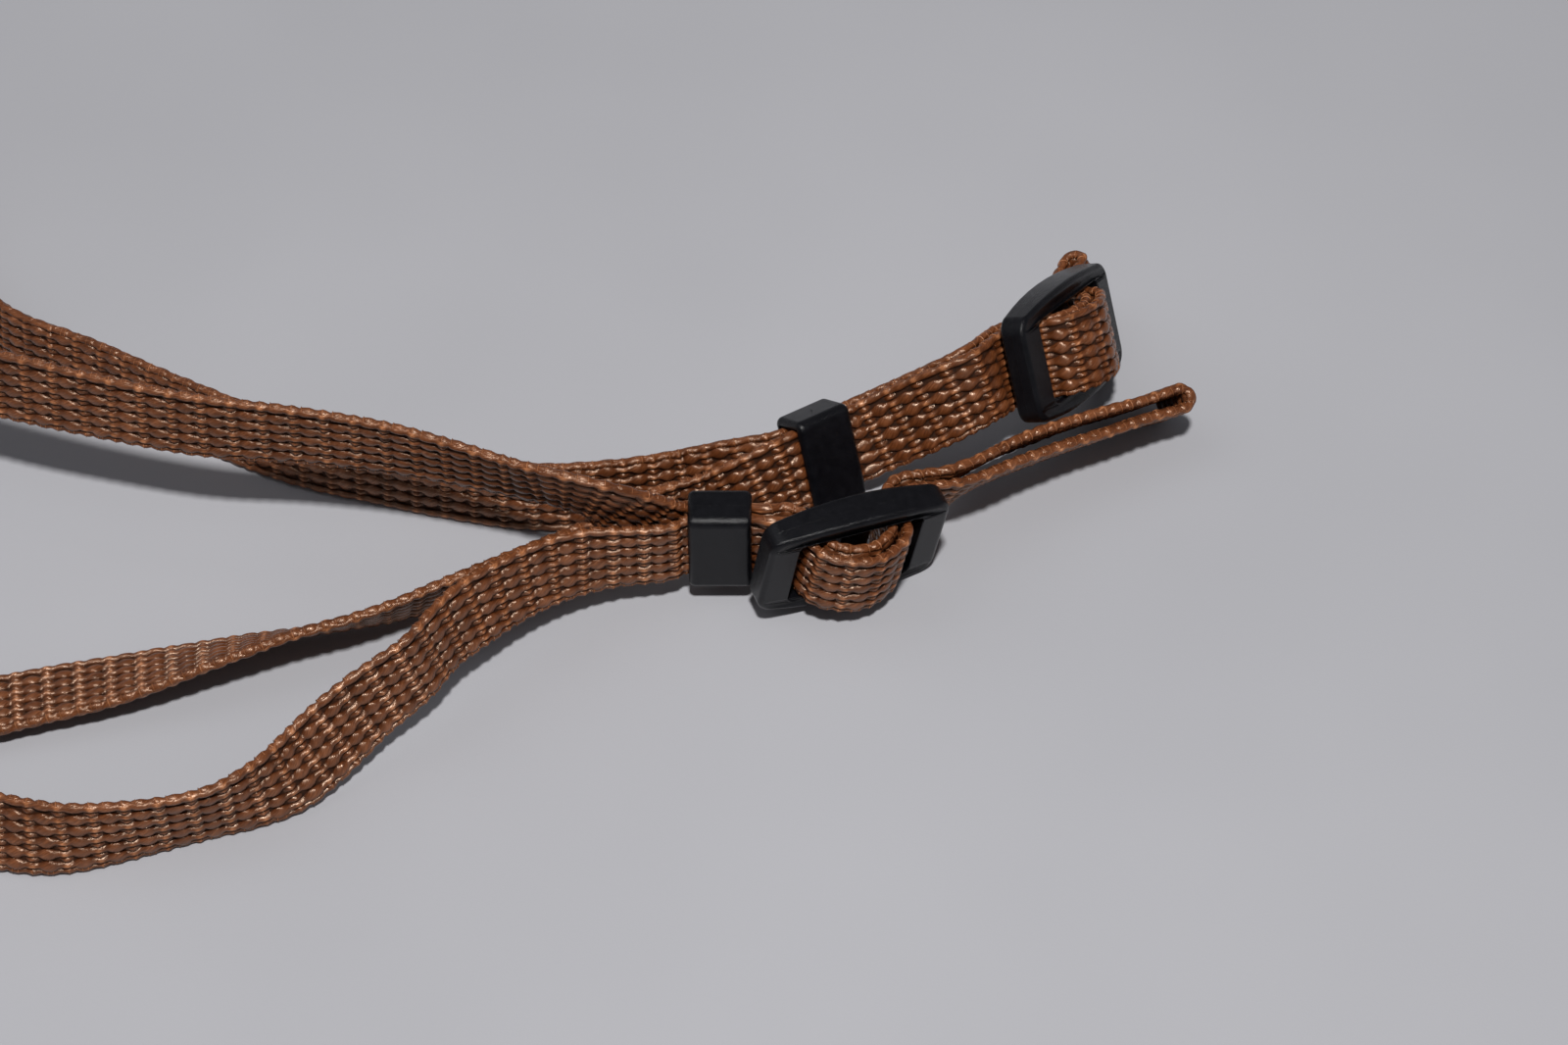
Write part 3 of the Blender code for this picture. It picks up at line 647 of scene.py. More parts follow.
def prism_mesh(name, outlines, depth):
    """Mesh of flat outlines, the first one filled and the others cut out, extruded to a depth."""
    curve = bpy.data.curves.new(name, "CURVE")
    curve.dimensions = "2D"
    curve.fill_mode = "BOTH"
    curve.extrude = depth / 2
    for outline in outlines:
        spline = curve.splines.new("POLY")
        spline.points.add(len(outline) - 1)
        for point, (x, y) in zip(spline.points, outline):
            point.co = (x, y, 0.0, 1.0)
        spline.use_cyclic_u = True
    guide = bpy.data.objects.new(name + "_outline", curve)
    bpy.context.scene.collection.objects.link(guide)
    bpy.context.view_layer.update()
    graph = bpy.context.evaluated_depsgraph_get()
    mesh = bpy.data.meshes.new_from_object(guide.evaluated_get(graph))
    bpy.data.objects.remove(guide)
    cage = bmesh.new()
    cage.from_mesh(mesh)
    bmesh.ops.remove_doubles(cage, verts=cage.verts, dist=MERGE_DISTANCE)
    bmesh.ops.recalc_face_normals(cage, faces=cage.faces)
    cage.to_mesh(mesh)
    cage.free()
    mesh.name = name
    return mesh


def stand(part, place, travel, width):
    """Put a part with its X along the webbing and its Z across the webbing's width."""
    away = width.cross(travel)
    axes = Matrix((travel, away, width)).transposed()
    part.matrix_world = Matrix.Translation(place) @ axes.to_4x4()


def route_stations(route):
    """Places and width directions of a route."""
    return [(place, width) for place, travel, width, face in route]


def neck_routes(spines):
    """Routes of the neck run and the two free ends, which start inside the keepers."""
    far = -LAYER_PITCH / 2
    near = LAYER_PITCH / 2
    loop = loop_knots()
    first = smooth_route(layer_start(spines["front"], far) + run_knots(FRONT_RUN) + loop[:1], RUN_STEP)
    last_knots = loop[-1:] + run_knots(BACK_RUN) + reverse_knots(layer_start(spines["back"], far))
    last = smooth_route(last_knots, RUN_STEP)
    front_tail = smooth_route(layer_start(spines["front"], near) + run_knots(FRONT_TAIL), RUN_STEP)
    back_tail = smooth_route(layer_start(spines["back"], near) + run_knots(BACK_TAIL), RUN_STEP)
    joined = [(*loop[0][:2], first[-1][1])] + loop[1:-1] + [(*loop[-1][:2], last[0][1])]
    middle = smooth_route(joined, LOOP_STEP)
    return first[:-1] + middle[:-1] + last, front_tail, back_tail


def smooth_band(stations, steps):
    """Evenly spaced places and directions (travel, width, face) of a band, and its length."""
    place = np.array([tuple(p) for p, w in stations])
    width = np.array([tuple(w) for p, w in stations])
    chord = np.linalg.norm(np.diff(place, axis=0), axis=1)
    at = np.concatenate(([0.0], np.cumsum(chord)))
    rate = np.gradient(place, at, axis=0)
    length = at[-1]
    count = int(round(length / WEAVE_REPEAT * steps)) + 1
    s = np.linspace(0.0, length, count)
    i = np.clip(np.searchsorted(at, s, side="right") - 1, 0, len(chord) - 1)
    t = ((s - at[i]) / chord[i])[:, None]
    c = chord[i][:, None]
    p = (place[i] * (2 * t**3 - 3 * t**2 + 1) + rate[i] * c * (t**3 - 2 * t**2 + t)
         + place[i + 1] * (3 * t**2 - 2 * t**3) + rate[i + 1] * c * (t**3 - t**2))
    w = width[i] * (1 - t) + width[i + 1] * t
    travel = np.gradient(p, s, axis=0)
    travel /= np.linalg.norm(travel, axis=1)[:, None]
    w -= travel * (w * travel).sum(1)[:, None]
    w /= np.linalg.norm(w, axis=1)[:, None]
    return p, travel, w, np.cross(travel, w), s, length


def soft_noise(rng, count, spacing):
    """Smooth random values from -1 to 1 with a new value every so many steps."""
    knots = rng.uniform(-1, 1, count // spacing + 3)
    x = np.arange(count) / spacing
    i = x.astype(int)
    f = x - i
    f = f * f * (3 - 2 * f)
    return knots[i] * (1 - f) + knots[i + 1] * f


def tube(p, w, f, across, out, wide, tall, sides, s, twist, groove):
    """Vertices, faces and texture places of one yarn: an ellipse of two plies swept along the band."""
    angle = np.arange(sides) * (2 * math.pi / sides)
    lobes = 1 - groove * (1 - np.abs(np.sin(angle[None, :] - twist[:, None])))
    x = across[:, None] + wide[:, None] * np.cos(angle)[None, :] * lobes
    z = out[:, None] + tall[:, None] * np.sin(angle)[None, :] * lobes
    verts = p[:, None, :] + w[:, None, :] * x[:, :, None] + f[:, None, :] * z[:, :, None]
    # How far out each point stands; the nylon paints it as shade in the pits and as light on the tops.
    high = np.maximum(np.abs(z) - 0.00022, (np.abs(x) - 0.0043) * 0.8) / 0.0005
    n = len(p)
    i, j = np.meshgrid(np.arange(n - 1), np.arange(sides), indexing="ij")
    k = (j + 1) % sides
    near, far = i * sides, (i + 1) * sides
    quads = np.stack((near + j, far + j, far + k, near + k), axis=-1).reshape(-1, 4)
    turn = np.stack((j, j, j + 1, j + 1), axis=-1).reshape(-1, 4) / sides
    along = np.stack((s[i], s[i + 1], s[i + 1], s[i]), axis=-1).reshape(-1, 4)
    return verts.reshape(-1, 3), quads, np.stack((turn, along), axis=-1), sides, high.ravel()


def mesh_piece(name, parts, tints):
    """One smooth object of several tubes, closed at their ends, with texture places and a tint each."""
    verts, faces, places, tint, painted_light = [], [], [], [], []
    base = 0
    for (v, q, uv, sides, high), value in zip(parts, tints):
        verts.append(v)
        faces += (q + base).tolist()
        faces.append([base + k for k in range(sides)])
        faces.append([base + len(v) - 1 - k for k in range(sides)])
        places.append(uv.reshape(-1, 2))
        places.append(np.zeros((2 * sides, 2)))
        tint.append(np.full(len(v), value))
        painted_light.append(high)
        base += len(v)
    mesh = bpy.data.meshes.new(name)
    mesh.from_pydata(np.concatenate(verts), [], faces)
    layer = mesh.uv_layers.new(name="yarn")
    layer.data.foreach_set("uv", np.concatenate(places).astype(np.float32).ravel())
    # Besides the tint, each point carries painted light: shade in the pits and highlights on the tops.
    for key, values in (("tint", tint), ("painted_light", painted_light)):
        shade = mesh.attributes.new(key, "FLOAT", "POINT")
        shade.data.foreach_set("value", np.concatenate(values).astype(np.float32))
    mesh.polygons.foreach_set("use_smooth", np.ones(len(mesh.polygons), bool))
    mesh.update()
    piece = bpy.data.objects.new(name, mesh)
    bpy.context.scene.collection.objects.link(piece)
    return piece


def weave(name, stations, fineness, seed, phase=0.0):
    """All the yarns of a band: warps, selvedge cords and the weft loops over them."""
    steps, sides = fineness
    rng = np.random.default_rng(seed)
    p, travel, w, f, s, length = smooth_band(stations, steps)
    n = len(s)
    turn = (s + phase) * (2 * math.pi / WEAVE_REPEAT)
    crest = 0.5 + 0.5 * np.cos(turn)
    swing = np.cos(turn)
    lump = np.where(swing > 0, np.abs(swing) ** RIB_ROUND[0], np.abs(swing) ** RIB_ROUND[1])
    rise = 1 - RIB_NOTCH * (1 - lump)
    parts, tints = [], []
    for k in range(WARPS):
        side = 1 if k % 2 == 0 else -1
        wobble = soft_noise(rng, n, steps)
        swell = 1 + YARN_SWELL * soft_noise(rng, n, steps)
        across = (k - (WARPS - 1) / 2) * WARP_PITCH + YARN_WANDER * wobble
        out = side * (WARP_LOW + (WARP_HIGH - WARP_LOW) * crest)
        out = out + YARN_WANDER * soft_noise(rng, n, steps)
        wide = (WARP_NARROW + (WARP_WIDE - WARP_NARROW) * crest) * swell * (0.45 + 0.55 * rise)
        tall = (WARP_TALL_NARROW + (WARP_TALL_WIDE - WARP_TALL_NARROW) * crest) * rise
        edge = 0.5 * WEB_WIDTH - np.abs(across) + 0.00005
        wide = np.minimum(wide, edge)
        twist = (s + phase) * (2 * math.pi / PLY_TWIST) + rng.uniform(0, math.pi)
        yarn = tube(p, w, f, across, out, wide, tall, sides, s, twist, PLY_GROOVE)
        # Painted highlight: the yarns' tops along the narrow rib's crests are painted lighter.
        light = np.repeat(np.clip(-swing, 0, 1) ** 5, sides)
        parts.append(yarn[:4] + (np.clip(yarn[4], 0, 1) * (0.65 + 0.33 * light),))
        tints.append(rng.uniform(0, 1))
    for side in (-1, 1):
        across = side * (SELVEDGE_AT + 0.5 * SELVEDGE_SCALLOP * (lump - 0.5))
        wide = SELVEDGE_WIDE + 0.5 * SELVEDGE_SCALLOP * lump
        tall = SELVEDGE_TALL * (0.80 + 0.20 * lump)
        twist = (s + phase) * (4 * math.pi / WEAVE_REPEAT)
        cord = tube(p, w, f, across, 0 * s, wide, tall, sides, s, twist, SELVEDGE_GROOVE)
        # The selvedge cords get painted shade in their pits, as the warps do.
        parts.append(cord[:4] + (0.65 * np.clip(cord[4], 0, 1),))
        tints.append(rng.uniform(0, 1))
    if sides > FAR_YARN[1]:
        parts_picks = picks(p, travel, w, f, s, phase, length, rng)
        parts += parts_picks
        tints += [PICK_TINT] * len(parts_picks)
    return mesh_piece(name, parts, tints), length


def picks(p, travel, w, f, s, phase, length, rng):
    """Weft threads over each selvedge: one at every narrow rib and two at every wide rib."""
    loops = []
    bend = np.radians(np.linspace(-118, 118, 7))
    first = math.floor(phase / WEAVE_REPEAT)
    for k in range(int(length / WEAVE_REPEAT) + 2):
        for share, radius in PICKS:
            at = (first + k + share) * WEAVE_REPEAT - phase
            if not PICK_END_MARGIN < at < length - PICK_END_MARGIN:
                continue
            i = int(np.searchsorted(s, at))
            reach = SELVEDGE_SCALLOP * 0.5 + SELVEDGE_WIDE + 0.00006
            for side in (-1, 1):
                across = side * (SELVEDGE_AT - 0.00002 + reach * np.cos(bend))
                out = (SELVEDGE_TALL + 0.00004) * np.sin(bend)
                skew = 0.00010 * np.sin(bend) + rng.uniform(-0.00006, 0.00006)
                line = p[i] + w[i] * across[:, None] + f[i] * out[:, None] + travel[i] * skew[:, None]
                along = np.gradient(line, axis=0)
                along /= np.linalg.norm(along, axis=1)[:, None]
                normal = np.cross(along, travel[i])
                normal /= np.linalg.norm(normal, axis=1)[:, None]
                flat = np.cross(normal, along)
                size = np.full(len(bend), radius)
                loop = tube(line, flat, normal, 0 * size, 0 * size, size, size, 4,
                            np.linspace(0, 0.002, len(bend)), 0 * size, 0.0)
                # The weft loops are painted light, as highlights.
                loops.append(loop[:4] + (np.full(len(bend) * 4, 0.95),))
    return loops


def core(name, stations):
    """Plain inner layer of a band, that shows dark between its yarns."""
    p, travel, w, f, s, length = smooth_band(stations, CORE_STEPS)
    half = CORE_WIDTH / 2
    thick = CORE_THICK / 2
    corners = ((-half, -thick), (half, -thick), (half, thick), (-half, thick))
    rings = np.stack([p + w * a + f * b for a, b in corners], axis=1)
    n = len(p)
    faces = [[0, 1, 2, 3], [4 * n - 1, 4 * n - 2, 4 * n - 3, 4 * n - 4]]
    for i in range(n - 1):
        for j in range(4):
            k = (j + 1) % 4
            faces.append([4 * i + j, 4 * (i + 1) + j, 4 * (i + 1) + k, 4 * i + k])
    mesh = bpy.data.meshes.new(name)
    mesh.from_pydata(rings.reshape(-1, 3), [], faces)
    mesh.update()
    piece = bpy.data.objects.new(name, mesh)
    bpy.context.scene.collection.objects.link(piece)
    return piece, length


def node(tree, kind, **inputs):
    """Shader node with some of its inputs set."""
    made = tree.nodes.new(kind)
    for key, value in inputs.items():
        made.inputs[key.replace("_", " ")].default_value = value
    return made


def new_material(name, rough, specular):
    """Material with its node tree and shader."""
    material = bpy.data.materials.new(name)
    material.use_nodes = True
    tree = material.node_tree
    shader = tree.nodes["Principled BSDF"]
    shader.inputs["Roughness"].default_value = rough
    shader.inputs["Specular IOR Level"].default_value = specular
    return material, tree, shader


def times(tree, value, factor, plus=None):
    """Output of a node that multiplies a value and may add another to it."""
    made = tree.nodes.new("ShaderNodeMath")
    made.operation = "MULTIPLY" if plus is None else "MULTIPLY_ADD"
    made.inputs[1].default_value = factor
    tree.links.new(value, made.inputs[0])
    if plus is not None:
        tree.links.new(plus, made.inputs[2])
    return made.outputs[0]


def ramp(tree, stops):
    """Colour ramp with the given stops of (place, colour)."""
    made = tree.nodes.new("ShaderNodeValToRGB")
    while len(made.color_ramp.elements) < len(stops):
        made.color_ramp.elements.new(0.5)
    for element, (place, colour) in zip(made.color_ramp.elements, stops):
        element.position = place
        element.color = (*colour, 1.0)
    return made


def nylon(name):
    """Dyed nylon yarn: fibres along the twist, small changes of brown, a soft sheen, and painted shade and
    highlights by how far out the yarns stand.
    """
    material, tree, shader = new_material(name, 0.27, 1.0)
    shader.inputs["Specular Tint"].default_value = (1.0, 0.74, 0.56, 1.0)
    shader.inputs["Anisotropic"].default_value = 0.8
    shader.inputs["Sheen Weight"].default_value = 0.03
    shader.inputs["Sheen Roughness"].default_value = 0.4
    shader.inputs["Sheen Tint"].default_value = (0.9, 0.6, 0.45, 1.0)
    link = tree.links.new
    place = tree.nodes.new("ShaderNodeUVMap")
    place.uv_map = "yarn"
    # The filaments lie along the yarn, so its highlights run round it.
    around = tree.nodes.new("ShaderNodeTangent")
    around.direction_type = "UV_MAP"
    around.uv_map = "yarn"
    link(around.outputs["Tangent"], shader.inputs["Tangent"])
    split = tree.nodes.new("ShaderNodeSeparateXYZ")
    link(place.outputs["UV"], split.inputs[0])
    # Round the yarn the place runs from 0 to 1, along it in metres. The fibres lie at the plies' twist.
    lean = times(tree, split.outputs["Y"], 1 / PLY_TWIST, split.outputs["X"])
    tint = tree.nodes.new("ShaderNodeAttribute")
    tint.attribute_name = "tint"
    join = tree.nodes.new("ShaderNodeCombineXYZ")
    link(times(tree, lean, 26.0), join.inputs[0])
    link(times(tree, split.outputs["Y"], 900.0), join.inputs[1])
    link(times(tree, tint.outputs["Fac"], 37.0), join.inputs[2])
    fibres = node(tree, "ShaderNodeTexNoise", Scale=1.0, Detail=2.0, Roughness=0.6)
    link(join.outputs[0], fibres.inputs["Vector"])
    bump = tree.nodes.new("ShaderNodeBump")
    bump.inputs["Strength"].default_value = 0.75
    bump.inputs["Distance"].default_value = 0.00009
    link(fibres.outputs["Fac"], bump.inputs["Height"])
    link(bump.outputs["Normal"], shader.inputs["Normal"])
    spots = node(tree, "ShaderNodeTexNoise", Scale=420.0, Detail=3.0, Roughness=0.55)
    where = tree.nodes.new("ShaderNodeTexCoord")
    link(where.outputs["Object"], spots.inputs["Vector"])
    mixed = times(tree, fibres.outputs["Fac"], 0.55, times(tree, spots.outputs["Fac"], 0.45))
    browns = ramp(tree, (
        (0.30, (0.054, 0.0140, 0.0038)),
        (0.50, (0.138, 0.0400, 0.0120)),
        (0.70, (0.280, 0.0980, 0.0380)),
    ))
    link(mixed, browns.inputs["Fac"])
    # Painted shade darkens the pits between the yarns, and painted highlights lighten their tops, most of
    # all on the narrow rib's crests and on the weft loops.
    painted_light = tree.nodes.new("ShaderNodeAttribute")
    painted_light.attribute_name = "painted_light"
    shade_and_highlight = ramp(tree, (
        (0.0, (0.34, 0.28, 0.25)),
        (0.36, (0.72, 0.69, 0.66)),
        (0.65, (1.05, 1.05, 1.05)),
        # The last stop is the pale painted highlight.
        (1.0, (2.9, 3.7, 4.6)),
    ))
    link(painted_light.outputs["Fac"], shade_and_highlight.inputs["Fac"])
    shaded = tree.nodes.new("ShaderNodeMix")
    shaded.data_type = "RGBA"
    shaded.blend_type = "MULTIPLY"
    shaded.inputs["Factor"].default_value = 1.0
    link(browns.outputs["Color"], shaded.inputs[6])
    link(shade_and_highlight.outputs["Color"], shaded.inputs[7])
    link(shaded.outputs[2], shader.inputs["Base Color"])
    return material


def core_material():
    """Inner layer: the same brown, in shade."""
    material, tree, shader = new_material("webbing_core", 0.7, 0.2)
    spots = node(tree, "ShaderNodeTexNoise", Scale=2500.0, Detail=2.0)
    where = tree.nodes.new("ShaderNodeTexCoord")
    tree.links.new(where.outputs["Object"], spots.inputs["Vector"])
    browns = ramp(tree, ((0.35, (0.022, 0.008, 0.0035)), (0.65, (0.048, 0.017, 0.007))))
    tree.links.new(spots.outputs["Fac"], browns.inputs["Fac"])
    tree.links.new(browns.outputs["Color"], shader.inputs["Base Color"])
    return material


def plastic(name):
    """Black moulded plastic: spark-eroded grain, faint colour changes and a parting line."""
    material, tree, shader = new_material(name, 0.22, 0.27)
    link = tree.links.new
    where = tree.nodes.new("ShaderNodeTexCoord")
    grain = node(tree, "ShaderNodeTexNoise", Scale=9500.0, Detail=3.0, Roughness=0.6)
    link(where.outputs["Object"], grain.inputs["Vector"])
    wide = node(tree, "ShaderNodeTexNoise", Scale=900.0, Detail=2.0)
    link(where.outputs["Object"], wide.inputs["Vector"])
    split = tree.nodes.new("ShaderNodeSeparateXYZ")
    link(where.outputs["Object"], split.inputs[0])
    near = tree.nodes.new("ShaderNodeMath")
    near.operation = "ABSOLUTE"
    link(split.outputs["Y"], near.inputs[0])
    line = tree.nodes.new("ShaderNodeMapRange")
    line.inputs["From Min"].default_value = 0.00003
    line.inputs["From Max"].default_value = 0.00012
    line.inputs["To Min"].default_value = 1.0
    line.inputs["To Max"].default_value = 0.0
    link(near.outputs[0], line.inputs["Value"])
    seam = tree.nodes.new("ShaderNodeBump")
    seam.inputs["Strength"].default_value = 0.25
    seam.inputs["Distance"].default_value = 0.00006
    link(line.outputs["Result"], seam.inputs["Height"])
    bump = tree.nodes.new("ShaderNodeBump")
    bump.inputs["Strength"].default_value = 0.9
    bump.inputs["Distance"].default_value = 0.00005
    link(grain.outputs["Fac"], bump.inputs["Height"])
    link(seam.outputs["Normal"], bump.inputs["Normal"])
    link(bump.outputs["Normal"], shader.inputs["Normal"])
    blacks = ramp(tree, ((0.3, (0.0030, 0.0030, 0.0042)), (0.7, (0.0060, 0.0060, 0.0078))))
    link(wide.outputs["Fac"], blacks.inputs["Fac"])
    link(blacks.outputs["Color"], shader.inputs["Base Color"])
    return material


def band_pieces(name, stations, stretches, seed):
    """Core and yarns of one band, whose yarns may be finer on some stretches."""
    inner, length = core(name + "_core", stations)
    inner.data.materials.append(CORE_MATERIAL)
    woven = []
    done = 0.0
    for k, (stretch, fineness) in enumerate(stretches):
        piece, run = weave(f"{name}_weave_{k + 1}", stretch, fineness, seed + k, done)
        piece.data.materials.append(NYLON)
        done += run
        woven.append(piece)
    for piece in [inner] + woven:
        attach(piece, "root")
        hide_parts(name)


def add_gate_mark(mesh, top):
    """Tiny three-sided mark that the mould leaves in the middle of a keeper's narrow side."""
    cage = bmesh.new()
    cage.from_mesh(mesh)
    corners = []
    for k in range(3):
        angle = math.radians(90 + 120 * k)
        x, y = GATE_SIZE * math.cos(angle), GATE_SIZE * math.sin(angle)
        corners.append(cage.verts.new((x, y, top - CLEAR / 3)))
    tip = cage.verts.new((0.0, 0.0, top + GATE_SIZE / 4))
    for k in range(3):
        cage.faces.new((corners[k], corners[(k + 1) % 3], tip))
    cage.faces.new(corners[::-1])
    cage.to_mesh(mesh)
    cage.free()


def take_modifiers(piece):
    """The piece's mesh becomes the one that its modifiers make."""
    bpy.context.view_layer.update()
    graph = bpy.context.evaluated_depsgraph_get()
    made = bpy.data.meshes.new_from_object(piece.evaluated_get(graph))
    piece.modifiers.clear()
    piece.data = made
    return made


def moulded(piece, name):
    """Finished plastic piece in place of its CAD node."""
    made = take_modifiers(piece)
    made.polygons.foreach_set("use_smooth", [True] * len(made.polygons))
    made.materials.clear()
    made.materials.append(PLASTIC)
    normals = piece.modifiers.new("normals", "WEIGHTED_NORMAL")
    normals.keep_sharp = True
    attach(piece, "root")
    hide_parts(name)


def weigh_edges(mesh, hole, inner_share):
    """Bevel weights: full on sharp edges outside a hole of this size, a share of it on the hole's own."""
    cage = bmesh.new()
    cage.from_mesh(mesh)
    weight = cage.edges.layers.float.new("bevel_weight_edge")
    for edge in cage.edges:
        if edge.calc_face_angle(0.0) > math.radians(PLASTIC_BEVEL_ANGLE):
            middle = (edge.verts[0].co + edge.verts[1].co) / 2
            outside = any(abs(at) > size / 2 + CLEAR for at, size in zip(middle, hole))
            edge[weight] = 1.0 if outside else inner_share
    cage.to_mesh(mesh)
    cage.free()


def round_edges(piece, width):
    """Bevel by the edges' weights, made into the piece's own mesh."""
    add_bevel(piece, width, SHELL_BEVEL_SEGMENTS, PLASTIC_BEVEL_ANGLE)
    piece.modifiers["edges"].limit_method = "WEIGHT"
    piece.modifiers["edges"].use_clamp_overlap = False
    take_modifiers(piece)


def moulded_keeper(name, place, frame):
    """Sleeve with rounded mouths and its gate mark, stood where the CAD keeper is."""
    outer = rounded_box(KEEPER_THICK / 2, KEEPER_WIDTH / 2, KEEPER_CORNER)
    inner = rounded_box(KEEPER_INNER_THICK / 2, KEEPER_INNER_WIDTH / 2, CLEAR)
    mesh = prism_mesh(name + "_shell", (outer, inner), KEEPER_LENGTH)
    mesh.transform(Matrix(((0, 0, 1, 0), (1, 0, 0, 0), (0, 1, 0, 0), (0, 0, 0, 1))))
    # The mouths are rounded well on the outside and only a little on the inside.
    weigh_edges(mesh, (KEEPER_LENGTH, KEEPER_INNER_THICK, KEEPER_INNER_WIDTH), KEEPER_MOUTH_SHARE)
    piece = bpy.data.objects.new(name + "_shell", mesh)
    bpy.context.scene.collection.objects.link(piece)
    round_edges(piece, KEEPER_EDGE_SEEN)
    stand(piece, place + ORIGIN, frame[1], frame[2])
    moulded(piece, name)
    add_gate_mark(piece.data, KEEPER_WIDTH / 2)


def moulded_buckle(name, place, frame):
    """Barrel shaped frame, thinner at its ends, joined with its centre bar."""
    window = rounded_box(WINDOW_LENGTH / 2, WINDOW_WIDTH / 2, WINDOW_CORNER)
    mesh = prism_mesh(name + "_shell", (barrel_outline(), window), BUCKLE_THICK)
    mesh.transform(Matrix(((1, 0, 0, 0), (0, 0, -1, 0), (0, 1, 0, 0), (0, 0, 0, 1))))
    weigh_edges(mesh, (WINDOW_LENGTH, BUCKLE_THICK, WINDOW_WIDTH), BUCKLE_WINDOW_SHARE)
    piece = bpy.data.objects.new(name + "_shell", mesh)
    bpy.context.scene.collection.objects.link(piece)
    round_edges(piece, BUCKLE_EDGE_SEEN)
    for corner in piece.data.vertices:
        corner.co.y *= thick_at(corner.co.x) / BUCKLE_THICK
    bpy.ops.mesh.primitive_cube_add(size=1)
    bar = bpy.context.object
    reach = WINDOW_WIDTH + 2 * BUCKLE_EDGE
    bar.data.transform(Matrix.Diagonal((CENTRE_BAR_WIDTH, CENTRE_BAR_THICK, reach, 1.0)))
    add_bevel(bar, BUCKLE_EDGE, BAR_BEVEL_SEGMENTS, PLASTIC_BEVEL_ANGLE)
    centre = place + ORIGIN + frame[3] * BACK_OFFSET
    stand(piece, centre, frame[1], frame[2])
    stand(bar, centre, frame[1], frame[2])
    join = piece.modifiers.new("centre_bar", "BOOLEAN")
    join.operation = "UNION"
    join.solver = "EXACT"
    join.object = bar
    moulded(piece, name)
    bpy.data.objects.remove(bar)


def placed(stations):
    """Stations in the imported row's frame."""
    return [(place + ORIGIN, width) for place, width in stations]


def index_at(lengths, at):
    """First place in a list of growing lengths that lies beyond a length."""
    return next(i for i, length in enumerate(lengths) if length > at)


def add_light(name, size, power, colour, place, target):
    """Square studio light aimed at a place."""
    lamp = bpy.data.lights.new(name, "AREA")
    lamp.shape = "SQUARE"
    lamp.size = size
    lamp.energy = power
    lamp.color = colour
    light = bpy.data.objects.new(name, lamp)
    light.location = place
    light.rotation_euler = (target - place).to_track_quat("-Z", "Y").to_euler()
    bpy.context.scene.collection.objects.link(light)


def paper(name):
    """Pale matt cloth that the strap lies on."""
    material, tree, shader = new_material(name, 0.85, 0.25)
    link = tree.links.new
    where = tree.nodes.new("ShaderNodeTexCoord")
    soft = node(tree, "ShaderNodeTexNoise", Scale=9.0, Detail=3.0)
    link(where.outputs["Object"], soft.inputs["Vector"])
    shades = ramp(tree, ((0.3, (0.410, 0.412, 0.438)), (0.7, (0.452, 0.454, 0.482))))
    link(soft.outputs["Fac"], shades.inputs["Fac"])
    link(shades.outputs["Color"], shader.inputs["Base Color"])
    grain = node(tree, "ShaderNodeTexNoise", Scale=3500.0, Detail=2.0)
    link(where.outputs["Object"], grain.inputs["Vector"])
    bump = tree.nodes.new("ShaderNodeBump")
    bump.inputs["Strength"].default_value = 0.25
    bump.inputs["Distance"].default_value = 0.00004
    link(grain.outputs["Fac"], bump.inputs["Height"])
    link(bump.outputs["Normal"], shader.inputs["Normal"])
    return material


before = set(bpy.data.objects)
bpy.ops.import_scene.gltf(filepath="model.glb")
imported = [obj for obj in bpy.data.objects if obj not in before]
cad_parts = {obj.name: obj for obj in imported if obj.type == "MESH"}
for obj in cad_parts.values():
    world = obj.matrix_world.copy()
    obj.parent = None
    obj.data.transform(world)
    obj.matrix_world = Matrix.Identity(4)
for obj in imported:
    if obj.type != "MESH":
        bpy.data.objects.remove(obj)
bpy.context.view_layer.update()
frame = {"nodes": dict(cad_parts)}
low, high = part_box("front_keeper")
ORIGIN = Vector(((low.x + high.x) / 2, (low.y + high.y) / 2, low.z - FRONT_KEEPER_LIFT))

NYLON = nylon("webbing_nylon")
CORE_MATERIAL = core_material()
PLASTIC = plastic("moulded_plastic")

spines = {}
for number, side in enumerate(ENDS):
    spine, keeper_place, buckle_place = end_spine(ENDS[side])
    spines[side] = spine
    lengths = spine_lengths(spine)
    near = min(range(len(spine)), key=lambda i: (spine[i][0] - buckle_place).length)
    stations = placed(end_stations(spine, lengths[near]))
    band_pieces(side + "_end", stations, [(stations, SEEN_YARN)], 10 + number)
    moulded_keeper(side + "_keeper", keeper_place, spine[0])
    moulded_buckle(side + "_buckle", buckle_place, spine[near])

neck, front_tail, back_tail = (placed(route_stations(route)) for route in neck_routes(spines))
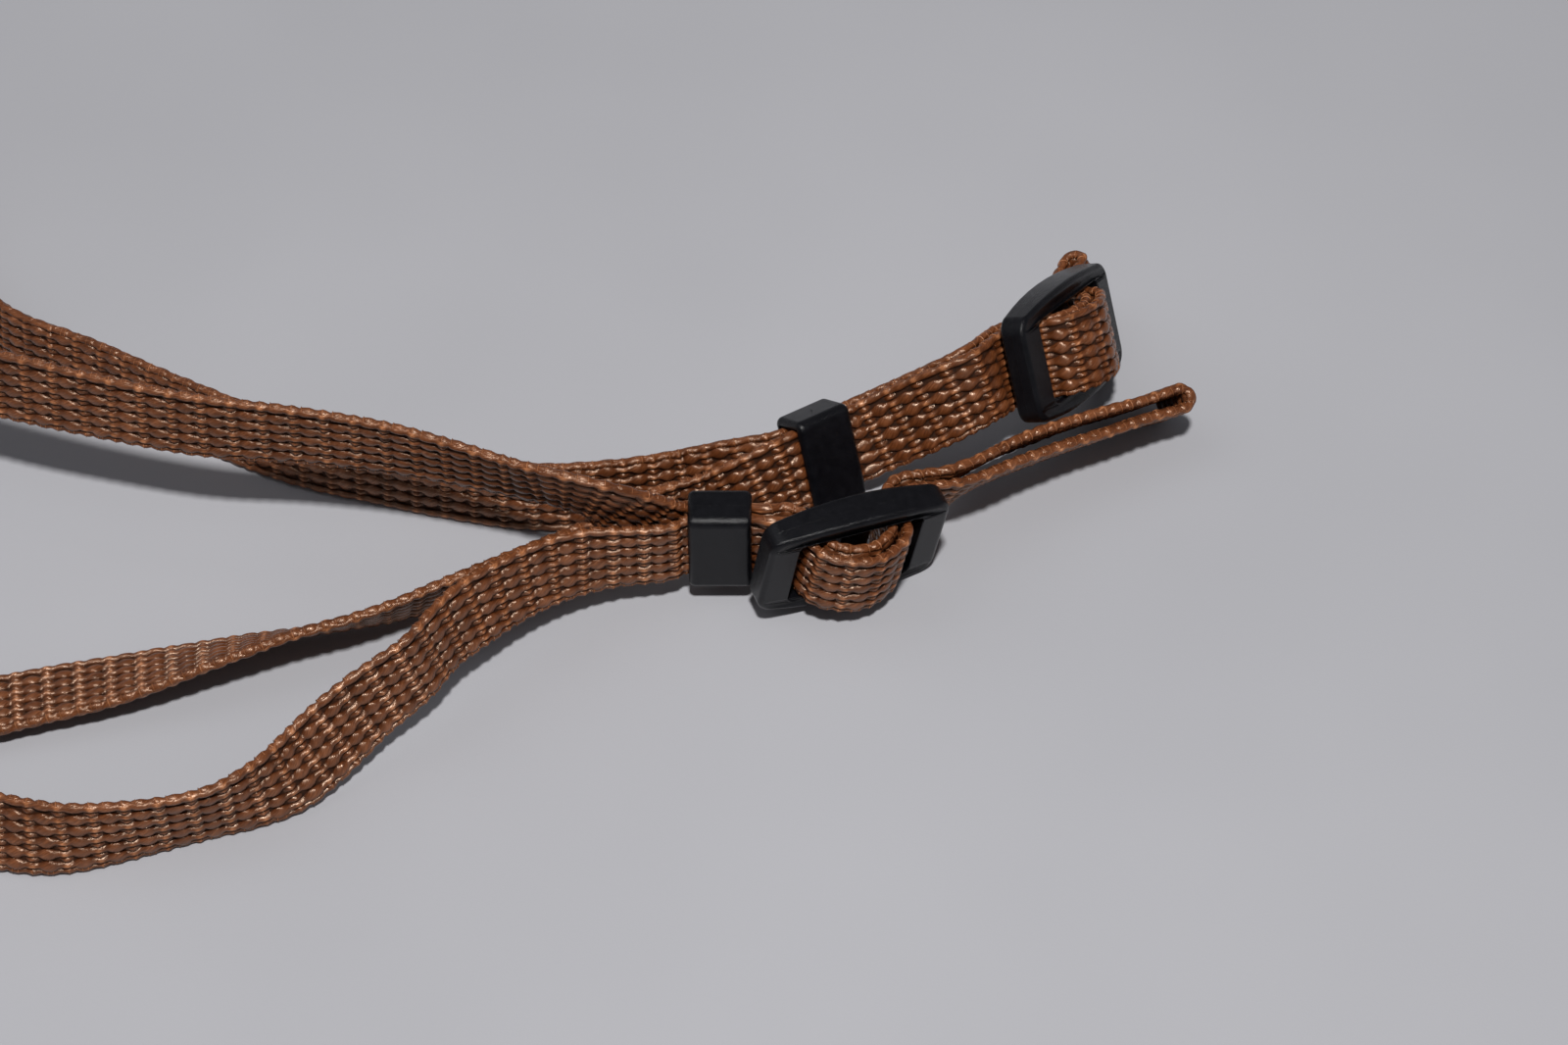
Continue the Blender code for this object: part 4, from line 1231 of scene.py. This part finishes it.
# The neck run is seen near its two ends. The rest of the loop has coarser yarns.
lengths = spine_lengths(neck)
first = index_at(lengths, SEEN_RUN)
last = index_at(lengths, lengths[-1] - SEEN_RUN)
stretches = [(neck[:first + 1], SEEN_YARN), (neck[first:last + 1], FAR_YARN), (neck[last:], SEEN_YARN)]
band_pieces("strap_main", neck, stretches, 20)
band_pieces("front_tail", front_tail, [(front_tail, SEEN_YARN)], 30)
band_pieces("back_tail", back_tail, [(back_tail, SEEN_YARN)], 40)

LOOK = ORIGIN + Vector((0.0076, 0.0101, -ORIGIN.z))

floor_mesh = bpy.data.meshes.new("studio_floor")
floor_corners = [(x * FLOOR_HALF, y * FLOOR_HALF, 0) for x, y in ((-1, -1), (1, -1), (1, 1), (-1, 1))]
floor_mesh.from_pydata(floor_corners, [], [(0, 1, 2, 3)])
floor_mesh.materials.append(paper("pale_cloth"))
floor = bpy.data.objects.new("studio_floor", floor_mesh)
floor.location = (0.0, 0.0, -FLOOR_DROP)
bpy.context.scene.collection.objects.link(floor)

add_light("key_light", 0.060, 6.2, (1.0, 0.985, 0.97), LOOK + Vector((0.015, -0.30, 0.78)), LOOK)
add_light("fill_light", 0.60, 0.7, (0.93, 0.96, 1.0), LOOK + Vector((-0.5, 0.1, 0.7)), LOOK)

world = bpy.data.worlds.new("studio_world")
world.use_nodes = True
world.node_tree.nodes["Background"].inputs["Color"].default_value = (0.92, 0.94, 1.0, 1.0)
world.node_tree.nodes["Background"].inputs["Strength"].default_value = 0.135
bpy.context.scene.world = world

lens = bpy.data.cameras.new("photo_camera")
lens.sensor_width = SENSOR_WIDTH
lens.lens = SENSOR_WIDTH * CAMERA_FOCAL / FRAME_WIDTH
camera = bpy.data.objects.new("photo_camera", lens)
tilt = math.radians(CAMERA_ELEVATION)
camera.location = LOOK + Vector((0.0, -CAMERA_DISTANCE * math.cos(tilt), CAMERA_DISTANCE * math.sin(tilt)))
camera.rotation_euler = (math.pi / 2 - tilt, 0.0, 0.0)
bpy.context.scene.collection.objects.link(camera)
bpy.context.scene.camera = camera
bpy.context.scene.view_settings.view_transform = "Standard"
